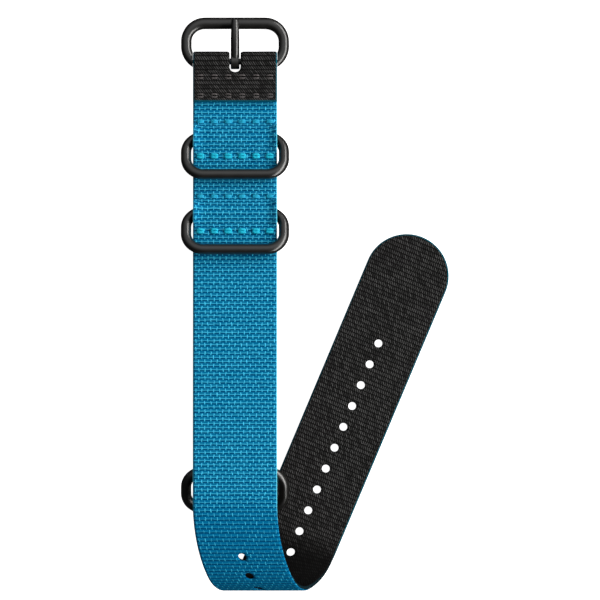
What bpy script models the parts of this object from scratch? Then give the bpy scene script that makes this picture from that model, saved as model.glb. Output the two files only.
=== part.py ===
"""Zulu watch strap, laid flat with its tail folded back beside the front.

Webbing is drawn flat, punched, and then laid along its folded path, the way a real strap is made.
Metres, +Z up. X runs across the front of the strap, +Y runs along it towards the buckle, and the
origin is the centre of the outer box on the surface that the strap lies on.
"""
import math

import bmesh
import bpy
import numpy as np
from mathutils import Matrix

MM = 0.001

# Webbing
STRAP_WIDTH = 22.0 * MM
STRAP_THICKNESS = 1.3 * MM
LAYER_GAP = 0.3 * MM            # between two sewn layers
FOLD_STEP = math.radians(12)    # turn between two cuts across the webbing
PLAIN_STEP = 14.0 * MM          # longest stretch without a cut
SKEW_CUTS = 2                   # cuts for the weft's turn, to those for the same turn of a fold
FLARE_CUTS = 4                  # cuts while a mouth opens
FLARE_CUT_SHARES = (0.0, 0.4, 0.7)  # cuts along the webbing, across a mouth's depth
FLAT_ANGLE = math.radians(0.5)  # faces that meet at less are one flat face before folding

# Oval rings and the oval buckle bow
RING_WIRE = 2.72 * MM           # wire diameter
RING_SIDE_GAP = 0.43 * MM       # strap's edge to the inside of the wire
RING_WIDTH = STRAP_WIDTH + 2 * (RING_SIDE_GAP + RING_WIRE)
RING_HEIGHT = 13.8 * MM         # outer
RING_CORNER = 5.9 * MM          # outer corner radius
WIRE_CLEARANCE = 0.3 * MM       # fabric to wire
BUCKLE_WIRE = 2.76 * MM
BUCKLE_SIDE_GAP = 0.365 * MM
BUCKLE_WIDTH = STRAP_WIDTH + 2 * (BUCKLE_SIDE_GAP + BUCKLE_WIRE)
BUCKLE_HEIGHT = 14.0 * MM
BUCKLE_CORNER = 6.3 * MM
BOW_FOOT_TO_PIN = 2.35 * MM     # lower edge of the bow's oval to the pin axis
BUCKLE_CENTRE = BUCKLE_HEIGHT / 2 - BOW_FOOT_TO_PIN     # pin axis to the middle of the bow
TOP_BAR_WIRE = 3.06 * MM        # the bow is thicker where the tongue rests

# Pin and tongue
PIN_RADIUS = 0.8 * MM
PIN_TIP_RADIUS = 0.45 * MM
PIN_TIP_LENGTH = 0.9 * MM
PIN_CLEARANCE = 0.2 * MM        # tip to its hole, and pin to the tongue's eye
TONGUE_WIDTH = 2.28 * MM
TONGUE_EYE_WALL = 1.0 * MM
TONGUE_OVERHANG = 0.9 * MM      # tip past the middle of the top bar
SLOT_CLEARANCE = 0.3 * MM       # tongue to the side of its slot
SLOT_LENGTH_TOP = 3.05 * MM     # pin axis to the slot's end, upper layer
SLOT_LENGTH_BACK = 2.8 * MM     # the same on the layer behind
TONGUE_TIP_SHARE = 0.85         # the prong's end, as a share of its shank
TONGUE_RISE_SHARE = 0.8         # share of the prong's length over which it climbs to the top bar
TAPER_PLACE_SHARES = (0.0, 0.8, 0.9, 0.96, 1.0)     # along the prong
TAPER_SIZE_SHARES = (1.0, TONGUE_TIP_SHARE, TONGUE_TIP_SHARE, 0.7, 0.25)

# The fold round the pin, measured down the strap from the pin axis
EYE_REACH = 2.0 * MM            # pin axis to the middle of the fold
SEAM_RELIEF = 0.5 * MM          # flat cloth kept on each side of a seam
TAB_LENGTH = 10.7 * MM
TAB_SEAMS = (4.2 * MM, 9.2 * MM)

# Keeper strap and its two pockets
KEEPER_START = 12.4 * MM        # pin axis to the keeper strap's upper end
FIRST_BAR = 19.6 * MM           # pin axis to the first ring's captured bar
BAR_SPACING = 19.8 * MM
POCKET_ABOVE = 3.8 * MM         # bar to the seam on the buckle's side
POCKET_BELOW = 5.35 * MM        # bar to the seam on the other side
POCKET_CROWN = 0.3 * MM         # flat stretch over the bar
FRONT_BULGE = 1.1 * MM          # how far a bar lifts the front layer
FREE_BAR_LIFT = 0.6 * MM        # free bar above the webbing, so that the ring's corners clear it
MOUTH_FLARE = 1.45 * MM         # a pocket's mouth opens round the ring's corners
MOUTH_DEPTH = 2.5 * MM
MOUTH_CROWN = 1.7 * MM          # full flare this far each way from the bar

# The keeper strap's end loop and its ring
END_BAR_BEFORE_BEND = 8.0672 * MM   # end ring's captured bar to the start of the bend, level
END_RING_DROP = math.radians(29.3)
LOOP_SEAMS = (4.2 * MM, 9.2 * MM)
LOOP_TAB_LENGTH = 10.7 * MM
LOOP_LEAD = 3.0 * MM            # level stretch before the loop's tab

# Front slope, bend and tail
FRONT_SLOPE = math.radians(8.0)
FRONT_LENGTH = 116.4 * MM       # pin axis to the start of the bend
SHOULDER_RADIUS = 26.2 * MM
SHOULDER_TURN = math.radians(34)
NOSE_RADIUS = 9.25 * MM
TAIL_ANGLE = math.radians(22.8)     # tail to front, seen from above
NOSE_DRIFT_SHARE = 0.538            # sideways step per step along the strap at the nose
HEEL_DRIFT_SHARE = 0.62             # the same at its largest, behind the nose
HEEL_LENGTH = 6.0 * MM              # nose to the largest sideways step
SKEW_LEAD = 1.9 * MM                # weft starts to turn this far before the nose
SKEW_TRAIL = 9.3 * MM               # and has turned this far past the first tail hole
TAIL_START = 12.7 * MM              # nose to the first hole seen on the tail, along the strap

# Punched holes
HOLE_RADIUS = 1.1 * MM
HOLE_PITCH = 5.92 * MM
HOLES_ON_TAIL = 11
HOLES_BEFORE_TAIL = 5
TIP_TO_FIRST_HOLE = 30.1 * MM

# Sewing
STITCH_PITCH = 3.63 * MM        # nearest pitch that fills the seam evenly
STITCH_LEGS = 1.6 * MM          # between the two needle holes of one stitch
SEAM_MARGIN = 1.125 * MM        # strap's edge to the outermost needle hole
THREAD_RADIUS = 0.4 * MM
THREAD_LIFT = 0.25 * MM         # thread to cloth
THREAD_BEND = 0.45 * MM
THREAD_TAIL = 0.3 * MM          # thread end past the last bend
NEEDLE_RADIUS = THREAD_RADIUS + THREAD_LIFT

# Facets
SHARP_ANGLE = math.radians(40)  # edges that turn more than this stay crisp
TIP_STEPS = 24                  # strap's round end
HOLE_SIDES = 16
NEEDLE_SIDES = 6
SLOT_STEPS = 8                  # each round end of the slot
RING_STEPS = 7                  # each corner of a ring
BOW_STEPS = 9                   # each corner of the bow
WIRE_RESOLUTION = 4             # makes 12 sides round a wire
THREAD_RESOLUTION = 1           # makes 6 sides round a thread
ROD_SIDES = 24
PIN_TIP_SIDES = 16
EYE_SIDES = 32
PRONG_STATIONS = 11

# Precision
WELD = 0.001 * MM
PATH_STEP = 0.05 * MM

BLUE = (0.007, 0.195, 0.366)
BLACK = (0.023, 0.023, 0.022)
STEEL = (0.020, 0.019, 0.018)
BLUE_THREAD = (0.012, 0.420, 0.600)
BLACK_THREAD = (0.050, 0.048, 0.048)

LAYER_PITCH = STRAP_THICKNESS + LAYER_GAP
RING_REACH = RING_HEIGHT - RING_WIRE
HALF_LAYERS = LAYER_PITCH / 2
WIRE_TO_MIDDLE = RING_WIRE / 2 + WIRE_CLEARANCE + STRAP_THICKNESS / 2
PIN_HEIGHT = WIRE_TO_MIDDLE + STRAP_THICKNESS / 2
BAR_DEPTH = WIRE_TO_MIDDLE - FRONT_BULGE
END_BAR_REACH = FRONT_LENGTH * math.cos(FRONT_SLOPE) - END_BAR_BEFORE_BEND
BARS = (FIRST_BAR, FIRST_BAR + BAR_SPACING)
POCKET_SEAMS = tuple(bar + off for bar in BARS for off in (-POCKET_ABOVE, POCKET_BELOW))


def fresh_scene():
    """Remove what the scene holds and make the collection for the parts."""
    for old in list(bpy.data.objects):
        bpy.data.objects.remove(old, do_unlink=True)
    parts = bpy.data.collections.new("zulu_watch_strap")
    cutters = bpy.data.collections.new("cutters")
    bpy.context.scene.collection.children.link(parts)
    bpy.context.scene.collection.children.link(cutters)
    return parts, cutters


PARTS, CUTTERS = fresh_scene()
ROOT = bpy.data.objects.new("strap_origin", None)
PARTS.objects.link(ROOT)


def finish_material(name, colour, roughness, metallic):
    material = bpy.data.materials.new(name)
    material.use_nodes = True
    shader = material.node_tree.nodes["Principled BSDF"]
    shader.inputs["Base Color"].default_value = (*colour, 1.0)
    shader.inputs["Roughness"].default_value = roughness
    shader.inputs["Metallic"].default_value = metallic
    material.diffuse_color = (*colour, 1.0)
    return material


BLUE_WEBBING = finish_material("blue_webbing", BLUE, roughness=0.85, metallic=0.0)
BLACK_WEBBING = finish_material("black_webbing", BLACK, roughness=0.9, metallic=0.0)
DARK_STEEL = finish_material("dark_steel", STEEL, roughness=0.35, metallic=0.9)


def add_part(name, mesh, *materials, parent=ROOT):
    part = bpy.data.objects.new(name, mesh)
    for material in materials:
        part.data.materials.append(material)
    PARTS.objects.link(part)
    part.parent = parent
    return part


def smooth_faces(part):
    part.data.shade_smooth()
    part.data.set_sharp_from_angle(angle=SHARP_ANGLE)


def mesh_from(curve_object):
    """Turn a curve object into a welded mesh and remove the curve."""
    bpy.context.view_layer.update()
    graph = bpy.context.evaluated_depsgraph_get()
    mesh = bpy.data.meshes.new_from_object(curve_object.evaluated_get(graph))
    mesh.name = curve_object.name + "_mesh"
    mesh.materials.clear()
    shape = bmesh.new()
    shape.from_mesh(mesh)
    bmesh.ops.remove_doubles(shape, verts=shape.verts, dist=WELD)
    shape.to_mesh(mesh)
    shape.free()
    curve = curve_object.data
    bpy.data.objects.remove(curve_object, do_unlink=True)
    bpy.data.curves.remove(curve)
    return mesh


def add_spline(curve, points, closed, radii=None):
    spline = curve.splines.new("POLY")
    spline.points.add(len(points) - 1)
    for index, point in enumerate(points):
        spline.points[index].co = (*point, 1.0)
        if radii is not None:
            spline.points[index].radius = radii[index]
    spline.use_cyclic_u = closed


def tube_mesh(name, points, radius, closed, resolution, radii=None):
    """A round wire along the points, with closed ends."""
    curve = bpy.data.curves.new(name, "CURVE")
    curve.dimensions = "3D"
    curve.bevel_depth = radius
    curve.bevel_resolution = resolution
    curve.use_fill_caps = not closed
    add_spline(curve, points, closed, radii)
    wire = bpy.data.objects.new(name, curve)
    PARTS.objects.link(wire)
    return mesh_from(wire)


def arc_points(centre, radius, start, end, steps):
    """Points on a flat arc from the start angle to the end angle."""
    angles = np.linspace(start, end, steps + 1)
    return [(centre[0] + radius * math.cos(a), centre[1] + radius * math.sin(a), 0) for a in angles]


def circle_points(centre, radius, sides):
    """A polygon whose flats, not its corners, lie at the radius."""
    outer = radius / math.cos(math.pi / sides)
    return arc_points(centre, outer, 0, 2 * math.pi * (sides - 1) / sides, sides - 1)


def cut_away(part, cutter, operation="DIFFERENCE"):
    """Apply a Boolean and put the cutter away."""
    cut = part.modifiers.new("cut", "BOOLEAN")
    cut.operation = operation
    cut.solver = "EXACT"
    cut.object = cutter
    bpy.context.view_layer.update()
    graph = bpy.context.evaluated_depsgraph_get()
    result = bpy.data.meshes.new_from_object(part.evaluated_get(graph))
    part.modifiers.clear()
    part.data = result
    cutter.hide_render = True
    cutter.display_type = "WIRE"


def add_cutter(name, mesh, parent=ROOT):
    cutter = bpy.data.objects.new(name, mesh)
    CUTTERS.objects.link(cutter)
    cutter.parent = parent
    return cutter


def box_mesh(name, low, high):
    shape = bmesh.new()
    size = [b - a for a, b in zip(low, high)]
    middle = [(a + b) / 2 for a, b in zip(low, high)]
    place = Matrix.Translation(middle) @ Matrix.Diagonal((*size, 1.0))
    bmesh.ops.create_cube(shape, size=1.0, matrix=place)
    mesh = bpy.data.meshes.new(name)
    shape.to_mesh(mesh)
    shape.free()
    return mesh


def rod_mesh(name, low_x, high_x, radius, sides=ROD_SIDES):
    """A cylinder along X."""
    shape = bmesh.new()
    place = Matrix.Translation(((low_x + high_x) / 2, 0, 0)) @ Matrix.Rotation(math.pi / 2, 4, "Y")
    bmesh.ops.create_cone(
        shape, cap_ends=True, segments=sides, radius1=radius, radius2=radius,
        depth=high_x - low_x, matrix=place)
    mesh = bpy.data.meshes.new(name)
    shape.to_mesh(mesh)
    shape.free()
    return mesh


# Paths. A path is a dense row of (y, z) points in the pin's own frame, where the pin axis is at
# (0, PIN_HEIGHT) and the front of the strap runs towards -Y. The webbing's blue face is on the
# path's right-hand side as it runs.

def on_front(along, above):
    """Points given down the sloping front and square to it, as (y, z)."""
    along, above = np.broadcast_arrays(np.asarray(along, float), np.asarray(above, float))
    c, s = math.cos(FRONT_SLOPE), math.sin(FRONT_SLOPE)
    return np.stack([-along * c + above * s, PIN_HEIGHT + along * s + above * c], axis=1)


def raised(distance, crown, foot):
    """1 within the crown, falling to 0 at the foot as half a cosine wave."""
    t = np.clip((np.abs(distance) - crown) / (foot - crown), 0, 1)
    return (1 + np.cos(math.pi * t)) / 2


def pocket_shape(along, bar, crown):
    """How full a pocket is at each place down the front."""
    beyond = along - bar
    foot = np.where(beyond < 0, POCKET_ABOVE - SEAM_RELIEF, POCKET_BELOW - SEAM_RELIEF)
    return raised(beyond, crown, foot)


def eye_points(seam, reach):
    """The fold round a bar at (0, 0), as (down the strap, above), from the upper seam to the lower."""
    steps = int(seam / PATH_STEP)
    down = np.linspace(seam, 0, steps, endpoint=False)
    rise = HALF_LAYERS + (WIRE_TO_MIDDLE - HALF_LAYERS) * raised(down, 0, seam - SEAM_RELIEF)
    turn = np.linspace(0, math.pi, 2 * steps)
    nose = np.stack([-reach * np.sin(turn), WIRE_TO_MIDDLE * np.cos(turn)], axis=1)
    upper = np.stack([down, rise], axis=1)
    lower = np.stack([down, -rise], axis=1)[::-1]
    return np.concatenate([upper, nose, lower])


def eye_height(down):
    """Half the height of the fold round the pin at a place down the strap."""
    fullness = float(raised(down, 0, TAB_SEAMS[0] - SEAM_RELIEF))
    return HALF_LAYERS + (WIRE_TO_MIDDLE - HALF_LAYERS) * fullness


def steps_between(start, end):
    return np.arange(start, end, PATH_STEP)


def main_front_points():
    """Tab, fold and sloping front of the main strap."""
    tab = on_front(-steps_between(-TAB_LENGTH, -TAB_SEAMS[0]), HALF_LAYERS)
    eye = eye_points(TAB_SEAMS[0], EYE_REACH)
    fold = on_front(eye[:, 0], eye[:, 1])
    along = steps_between(TAB_SEAMS[0] + PATH_STEP, FRONT_LENGTH)
    bulge = sum(pocket_shape(along, bar, POCKET_CROWN) for bar in BARS)
    front = on_front(along, -HALF_LAYERS + FRONT_BULGE * bulge)
    return np.concatenate([tab, fold, front])


def bend_points(start, tail_length):
    """Shoulder, nose, heel and tail. The heel's radius is what brings the tail to the surface."""
    tail_height = STRAP_THICKNESS / 2
    nose_turn = math.pi / 2 - SHOULDER_TURN
    fall = SHOULDER_RADIUS * (math.cos(FRONT_SLOPE) - math.cos(SHOULDER_TURN))
    fall += NOSE_RADIUS * math.cos(SHOULDER_TURN)
    heel_radius = start[1] - fall - tail_height
    runs = (
        (SHOULDER_RADIUS, SHOULDER_TURN + FRONT_SLOPE),
        (NOSE_RADIUS, nose_turn),
        (heel_radius, math.pi / 2),
    )
    bend_length = sum(radius * turn for radius, turn in runs)
    distance = steps_between(PATH_STEP, bend_length + tail_length)
    turned = np.full(len(distance), -FRONT_SLOPE)
    done = 0
    for radius, turn in runs:
        turned += np.clip((distance - done) / radius, 0, turn)
        done += radius * turn
    y = start[0] + np.cumsum(-np.cos(turned) * PATH_STEP)
    z = start[1] + np.cumsum(-np.sin(turned) * PATH_STEP)
    nose_at = SHOULDER_RADIUS * (SHOULDER_TURN + FRONT_SLOPE) + NOSE_RADIUS * nose_turn
    return np.stack([y, z], axis=1), nose_at


def end_bar_place():
    """Middle of the end ring's captured bar: its free bar rests on the tail."""
    free_bar = STRAP_THICKNESS + WIRE_CLEARANCE + RING_WIRE / 2
    return np.array([-END_BAR_REACH, free_bar + RING_REACH * math.sin(END_RING_DROP)])


def keeper_points():
    """Upper end, two pockets, free run and end loop of the keeper strap."""
    leave = BARS[1] + POCKET_BELOW + SEAM_RELIEF
    along = steps_between(KEEPER_START, leave)
    dip = WIRE_TO_MIDDLE + BAR_DEPTH - LAYER_PITCH
    filled = sum(pocket_shape(along, bar, POCKET_CROWN) for bar in BARS)
    sewn = on_front(along, -HALF_LAYERS - LAYER_PITCH - dip * filled)

    bar = end_bar_place()
    eye = eye_points(LOOP_SEAMS[0], WIRE_TO_MIDDLE)[::-1]
    loop = np.stack([bar[0] + eye[:, 0], bar[1] + eye[:, 1]], axis=1)
    level = steps_between(-(LOOP_TAB_LENGTH + LOOP_LEAD), -LOOP_SEAMS[0])
    lead = np.stack([bar[0] - level, np.full(len(level), bar[1] - HALF_LAYERS)], axis=1)
    back = steps_between(LOOP_SEAMS[0] + PATH_STEP, LOOP_TAB_LENGTH)
    tab = np.stack([bar[0] + back, np.full(len(back), bar[1] + HALF_LAYERS)], axis=1)

    start, end = sewn[-1], lead[0]
    span = abs(end[0] - start[0])
    t = np.arange(PATH_STEP, span - PATH_STEP / 2, PATH_STEP)[:, None] / span
    leaving = np.array([-1.0, math.tan(FRONT_SLOPE)]) * span
    arriving = np.array([-1.0, 0.0]) * span
    free = (
        (2 * t**3 - 3 * t**2 + 1) * start + (t**3 - 2 * t**2 + t) * leaving
        + (3 * t**2 - 2 * t**3) * end + (t**3 - t**2) * arriving)
    return np.concatenate([sewn, free, lead, loop, tab])


class Lay:
    """Where a flat strip of webbing goes once it is laid along its path.

    A strip point is (across, along, thickness). The path turns only about X, so the strip is
    first drifted and skewed in its own plane, and that plane is then rolled along the path.
    """

    def __init__(self, points, drift=None, skew=None, flare=None):
        step = np.diff(points, axis=0)
        self.points = points
        self.arc = np.concatenate([[0], np.cumsum(np.hypot(*step.T))])
        heading = np.gradient(points, self.arc, axis=0)
        heading /= np.hypot(*heading.T)[:, None]
        self.face = np.stack([heading[:, 1], -heading[:, 0]], axis=1)
        self.turn = np.unwrap(np.arctan2(heading[:, 1], heading[:, 0]))
        ratio = np.zeros(len(points)) if drift is None else drift(self.arc)
        middle = (ratio[1:] + ratio[:-1]) / 2
        length = np.diff(self.arc)
        self.side = np.concatenate([[0], np.cumsum(middle * length)])
        self.run = np.concatenate([[0], np.cumsum(np.sqrt(1 + middle**2) * length)])
        self.skew = np.zeros(len(points)) if skew is None else skew(self.arc)
        self.flare = np.zeros(len(points)) if flare is None else flare(self)

    def look(self, values, arc):
        return np.interp(arc, self.arc, values)

    def along_at(self, arc):
        """Strip length at a length along the path."""
        return float(np.interp(arc, self.arc, self.run))

    def arc_near(self, y, z):
        """Length along the path at the point of it nearest to (y, z)."""
        away = np.hypot(self.points[:, 0] - y, self.points[:, 1] - z)
        return float(self.arc[np.argmin(away)])

    def place(self, across, along, thickness):
        arc = np.interp(along, self.run, self.arc)
        skew = self.look(self.skew, arc)
        x = self.look(self.side, arc) + across * np.cos(skew)
        arc = arc - across * np.sin(skew)
        mouth = np.clip((np.abs(across) - STRAP_WIDTH / 2 + MOUTH_DEPTH) / MOUTH_DEPTH, 0, None)
        off = thickness + self.look(self.flare, arc) * mouth**2
        y = self.look(self.points[:, 0], arc) + off * self.look(self.face[:, 0], arc)
        z = self.look(self.points[:, 1], arc) + off * self.look(self.face[:, 1], arc)
        return x, y, z

    def stations(self):
        """Strip lengths to cut across at: closer where the path turns or the weft skews."""
        turned = np.concatenate([[0], np.cumsum(np.abs(np.diff(self.turn)))])
        skewed = np.concatenate([[0], np.cumsum(np.abs(np.diff(self.skew)))])
        flared = np.concatenate([[0], np.cumsum(np.abs(np.diff(self.flare)))]) / MOUTH_FLARE
        count = (turned + SKEW_CUTS * skewed) / FOLD_STEP
        count += FLARE_CUTS * flared + self.run / PLAIN_STEP
        marks = np.arange(0.5, count[-1], 1)
        return np.interp(marks, count, self.run)


def thread_places():
    """Needle holes across one seam, from one edge to the other."""
    seam_run = STRAP_WIDTH - 2 * SEAM_MARGIN - STITCH_LEGS
    middles = np.linspace(-seam_run / 2, seam_run / 2, round(seam_run / STITCH_PITCH) + 1)
    return np.stack([middles - STITCH_LEGS / 2, middles + STITCH_LEGS / 2], axis=1).ravel()


def webbing(name, lay, length, outline, holes, flared_runs):
    """Draw the strip flat, punch it, cut it across at the stations and lay it along its path."""
    curve = bpy.data.curves.new(name, "CURVE")
    curve.dimensions = "2D"
    curve.fill_mode = "BOTH"
    curve.extrude = STRAP_THICKNESS / 2
    add_spline(curve, outline, True)
    for hole in holes:
        add_spline(curve, hole, True)
    flat = bpy.data.objects.new(name + "_flat", curve)
    PARTS.objects.link(flat)
    mesh = mesh_from(flat)
    shape = bmesh.new()
    shape.from_mesh(mesh)

    def cut(place, normal, low, high):
        faces = [f for f in shape.faces if low <= f.calc_center_median().y <= high]
        edges = {e for f in faces for e in f.edges}
        verts = {v for f in faces for v in f.verts}
        cut_geometry = bmesh.ops.bisect_plane(
            shape, geom=[*verts, *edges, *faces], plane_co=place, plane_no=normal, dist=WELD)
        for part in cut_geometry["geom_cut"]:
            if isinstance(part, bmesh.types.BMEdge):
                part.seam = True

    for station in lay.stations():
        if WELD < station < length - WELD:
            cut((0, station, 0), (0, 1, 0), 0, length)
    for low, high in flared_runs:
        for share in FLARE_CUT_SHARES:
            edge = STRAP_WIDTH / 2 - MOUTH_DEPTH * (1 - share)
            cut((edge, 0, 0), (1, 0, 0), low, high)
            cut((-edge, 0, 0), (1, 0, 0), low, high)
    bmesh.ops.dissolve_limit(
        shape, angle_limit=FLAT_ANGLE, verts=shape.verts, edges=shape.edges, delimit={"SEAM"})
    for face in shape.faces:
        face.material_index = 0 if face.calc_center_median().z > -STRAP_THICKNESS / 4 else 1
    bmesh.ops.triangulate(shape, faces=shape.faces)
    flat_points = np.array([v.co for v in shape.verts])
    laid = np.stack(lay.place(*flat_points.T), axis=1)
    for vert, point in zip(shape.verts, laid):
        vert.co = point
    # The path runs towards -Y, which mirrors the strip, so its faces are turned back outwards.
    bmesh.ops.reverse_faces(shape, faces=shape.faces)
    shape.to_mesh(mesh)
    shape.free()
    add_part(name, mesh, BLUE_WEBBING, BLACK_WEBBING)


def needle_holes(alongs):
    places = thread_places()
    return [circle_points((x, along), NEEDLE_RADIUS, NEEDLE_SIDES) for along in alongs for x in places]


def slot_outline(start, end, half_width):
    upper = arc_points((0, end - half_width), half_width, 0, math.pi, SLOT_STEPS)
    lower = arc_points((0, start + half_width), half_width, math.pi, 2 * math.pi, SLOT_STEPS)
    return upper + lower


def build_main_strap():
    front = main_front_points()
    front_arc = np.sum(np.hypot(*np.diff(front, axis=0).T))
    tip_run = (HOLES_ON_TAIL - 1) * HOLE_PITCH + TIP_TO_FIRST_HOLE
    bend, nose_at = bend_points(front[-1], tip_run + TAIL_START + STRAP_WIDTH)
    nose = front_arc + nose_at
    first_hole = nose + TAIL_START
    tail_ratio = math.tan(TAIL_ANGLE)

    def drift(arc):
        known = (front_arc, nose, nose + HEEL_LENGTH, first_hole)
        ratios = (0, NOSE_DRIFT_SHARE, HEEL_DRIFT_SHARE, tail_ratio)
        return np.interp(arc, known, ratios)

    def skew(arc):
        t = (arc - nose + SKEW_LEAD) / (TAIL_START + SKEW_TRAIL + SKEW_LEAD)
        return TAIL_ANGLE * (1 - raised(np.clip(t, 0, 1), 0, 1))

    def flare(lay):
        over_bars = [lay.arc_near(*on_front([bar], [FRONT_BULGE - HALF_LAYERS])[0]) for bar in BARS]
        return MOUTH_FLARE * sum(pocket_shape(lay.arc, here, MOUTH_CROWN) for here in over_bars)

    lay = Lay(np.concatenate([front, bend]), drift, skew, flare)
    half = STRAP_WIDTH / 2
    first_along = lay.along_at(first_hole)
    length = first_along + tip_run
    tip = arc_points((0, length - half), half, 0, math.pi, TIP_STEPS)
    outline = [(half, 0, 0), *tip, (-half, 0, 0)]

    hole_alongs = [first_along + n * HOLE_PITCH for n in range(-HOLES_BEFORE_TAIL, HOLES_ON_TAIL)]
    holes = [circle_points((0, along), HOLE_RADIUS, HOLE_SIDES) for along in hole_alongs]
    upper, under = (
        lay.arc_near(*on_front([place], [side * eye_height(place)])[0])
        for place, side in ((SLOT_LENGTH_TOP, 1), (SLOT_LENGTH_BACK, -1)))
    slot_half = TONGUE_WIDTH / 2 + SLOT_CLEARANCE
    holes.append(slot_outline(upper, under, slot_half))
    seams = [
        lay.arc_near(*on_front([seam], [side * HALF_LAYERS])[0])
        for seam in TAB_SEAMS for side in (1, -1)]
    seams += [lay.arc_near(*on_front([s], [-HALF_LAYERS])[0]) for s in POCKET_SEAMS]
    holes += needle_holes(seams)
    mouths = [seam_span(lay, bar) for bar in BARS]
    webbing("main_strap", lay, length, outline, holes, mouths)
    print("main strap cut length", round(length / MM, 2), "mm")


def seam_span(lay, bar):
    """Strip lengths between the seams on each side of a bar."""
    ends = (bar - POCKET_ABOVE, bar + POCKET_BELOW)
    return [lay.arc_near(*on_front([end], [-HALF_LAYERS])[0]) for end in ends]


def build_keeper_strap():
    bar = end_bar_place()

    def flare(lay):
        nose = lay.arc_near(bar[0] - WIRE_TO_MIDDLE, bar[1])
        half_wrap = WIRE_TO_MIDDLE * math.pi / 2
        foot = half_wrap + LOOP_SEAMS[0] - SEAM_RELIEF
        return -MOUTH_FLARE * raised(lay.arc - nose, half_wrap, foot)

    lay = Lay(keeper_points(), flare=flare)
    length = float(lay.run[-1])
    half = STRAP_WIDTH / 2
    outline = [(half, 0, 0), (half, length, 0), (-half, length, 0), (-half, 0, 0)]
    seams = [lay.arc_near(*on_front([s], [-HALF_LAYERS - LAYER_PITCH])[0]) for s in POCKET_SEAMS]
    for seam in LOOP_SEAMS:
        seams += [lay.arc_near(bar[0] + seam, bar[1] + side * HALF_LAYERS) for side in (-1, 1)]
    nose = lay.arc_near(bar[0] - WIRE_TO_MIDDLE, bar[1])
    mouth = (nose - LOOP_SEAMS[0] - WIRE_TO_MIDDLE, nose + LOOP_SEAMS[0] + WIRE_TO_MIDDLE)
    webbing("keeper_strap", lay, length, outline, needle_holes(seams), [mouth])
    print("keeper strap cut length", round(length / MM, 2), "mm")


def thread_path(top, bottom):
    """One thread weaving through a seam, as (across, above), with its corners cut off."""
    legs = thread_places()
    points = [(legs[0] - THREAD_BEND - THREAD_TAIL, bottom)]
    for index, leg in enumerate(legs):
        rising = index % 2 == 0
        first, last = (bottom, top) if rising else (top, bottom)
        step = THREAD_BEND if rising else -THREAD_BEND
        points.append((leg - THREAD_BEND, first))
        points.append((leg, first + step))
        points.append((leg, last - step))
        points.append((leg + THREAD_BEND, last))
    points.append((legs[-1] + THREAD_BEND + THREAD_TAIL, bottom))
    return points


def sew(name, base, up, top, bottom, material):
    """A seam's thread: base is (y, z) on the seam and up is square to the cloth there."""
    points = [
        (across, base[0] + above * up[0], base[1] + above * up[1])
        for across, above in thread_path(top, bottom)]
    mesh = tube_mesh(name, points, THREAD_RADIUS, False, THREAD_RESOLUTION)
    smooth_faces(add_part(name, mesh, material))


def build_seams():
    black = finish_material("black_thread", BLACK_THREAD, roughness=0.6, metallic=0.0)
    blue = finish_material("blue_thread", BLUE_THREAD, roughness=0.5, metallic=0.0)
    square = (math.sin(FRONT_SLOPE), math.cos(FRONT_SLOPE))
    proud = STRAP_THICKNESS / 2 + THREAD_LIFT + THREAD_RADIUS
    for number, seam in enumerate(TAB_SEAMS, 1):
        base = on_front([seam], [0])[0]
        sew(f"tab_seam_{number}", base, square, HALF_LAYERS + proud, -HALF_LAYERS - proud, black)
    for number, seam in enumerate(POCKET_SEAMS, 1):
        base = on_front([seam], [-HALF_LAYERS])[0]
        sew(f"pocket_seam_{number}", base, square, proud, -LAYER_PITCH - proud, blue)
    bar = end_bar_place()
    for number, seam in enumerate(LOOP_SEAMS, 1):
        base = bar + np.array([seam, 0])
        sew(f"loop_seam_{number}", base, (0, 1), HALF_LAYERS + proud, -HALF_LAYERS - proud, black)


def oval_points(width, height, corner, wire, steps):
    """Middle line of an oval ring, its lower bar on the X axis, from (width, height) outside."""
    half_w = width / 2 - corner
    top = height - wire - (corner - wire / 2)
    bottom = corner - wire / 2
    radius = corner - wire / 2
    quarter = math.pi / 2
    return [
        *arc_points((half_w, bottom), radius, -quarter, 0, steps),
        *arc_points((half_w, top), radius, 0, quarter, steps),
        *arc_points((-half_w, top), radius, quarter, 2 * quarter, steps),
        *arc_points((-half_w, bottom), radius, 2 * quarter, 3 * quarter, steps),
    ]


def build_ring(name, bar, swing):
    """A closed wire ring. Its origin is on its captured bar, and swing lifts its free bar from -Y."""
    points = oval_points(RING_WIDTH, RING_HEIGHT, RING_CORNER, RING_WIRE, RING_STEPS)
    mesh = tube_mesh(name, [(x, -y, 0) for x, y, _ in points], RING_WIRE / 2, True, WIRE_RESOLUTION)
    ring = add_part(name, mesh, DARK_STEEL)
    ring.location = (0, bar[0], bar[1])
    ring.rotation_euler = (-swing, 0, 0)
    smooth_faces(ring)


def build_rings():
    lift = STRAP_THICKNESS / 2 + FREE_BAR_LIFT + RING_WIRE / 2 + BAR_DEPTH
    swing = FRONT_SLOPE + math.asin(lift / RING_REACH)
    for name, bar in zip(("keeper_ring_upper", "keeper_ring_lower"), BARS):
        build_ring(name, on_front([bar], [-HALF_LAYERS - BAR_DEPTH])[0], swing)
    build_ring("end_ring", end_bar_place(), -END_RING_DROP)


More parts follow.
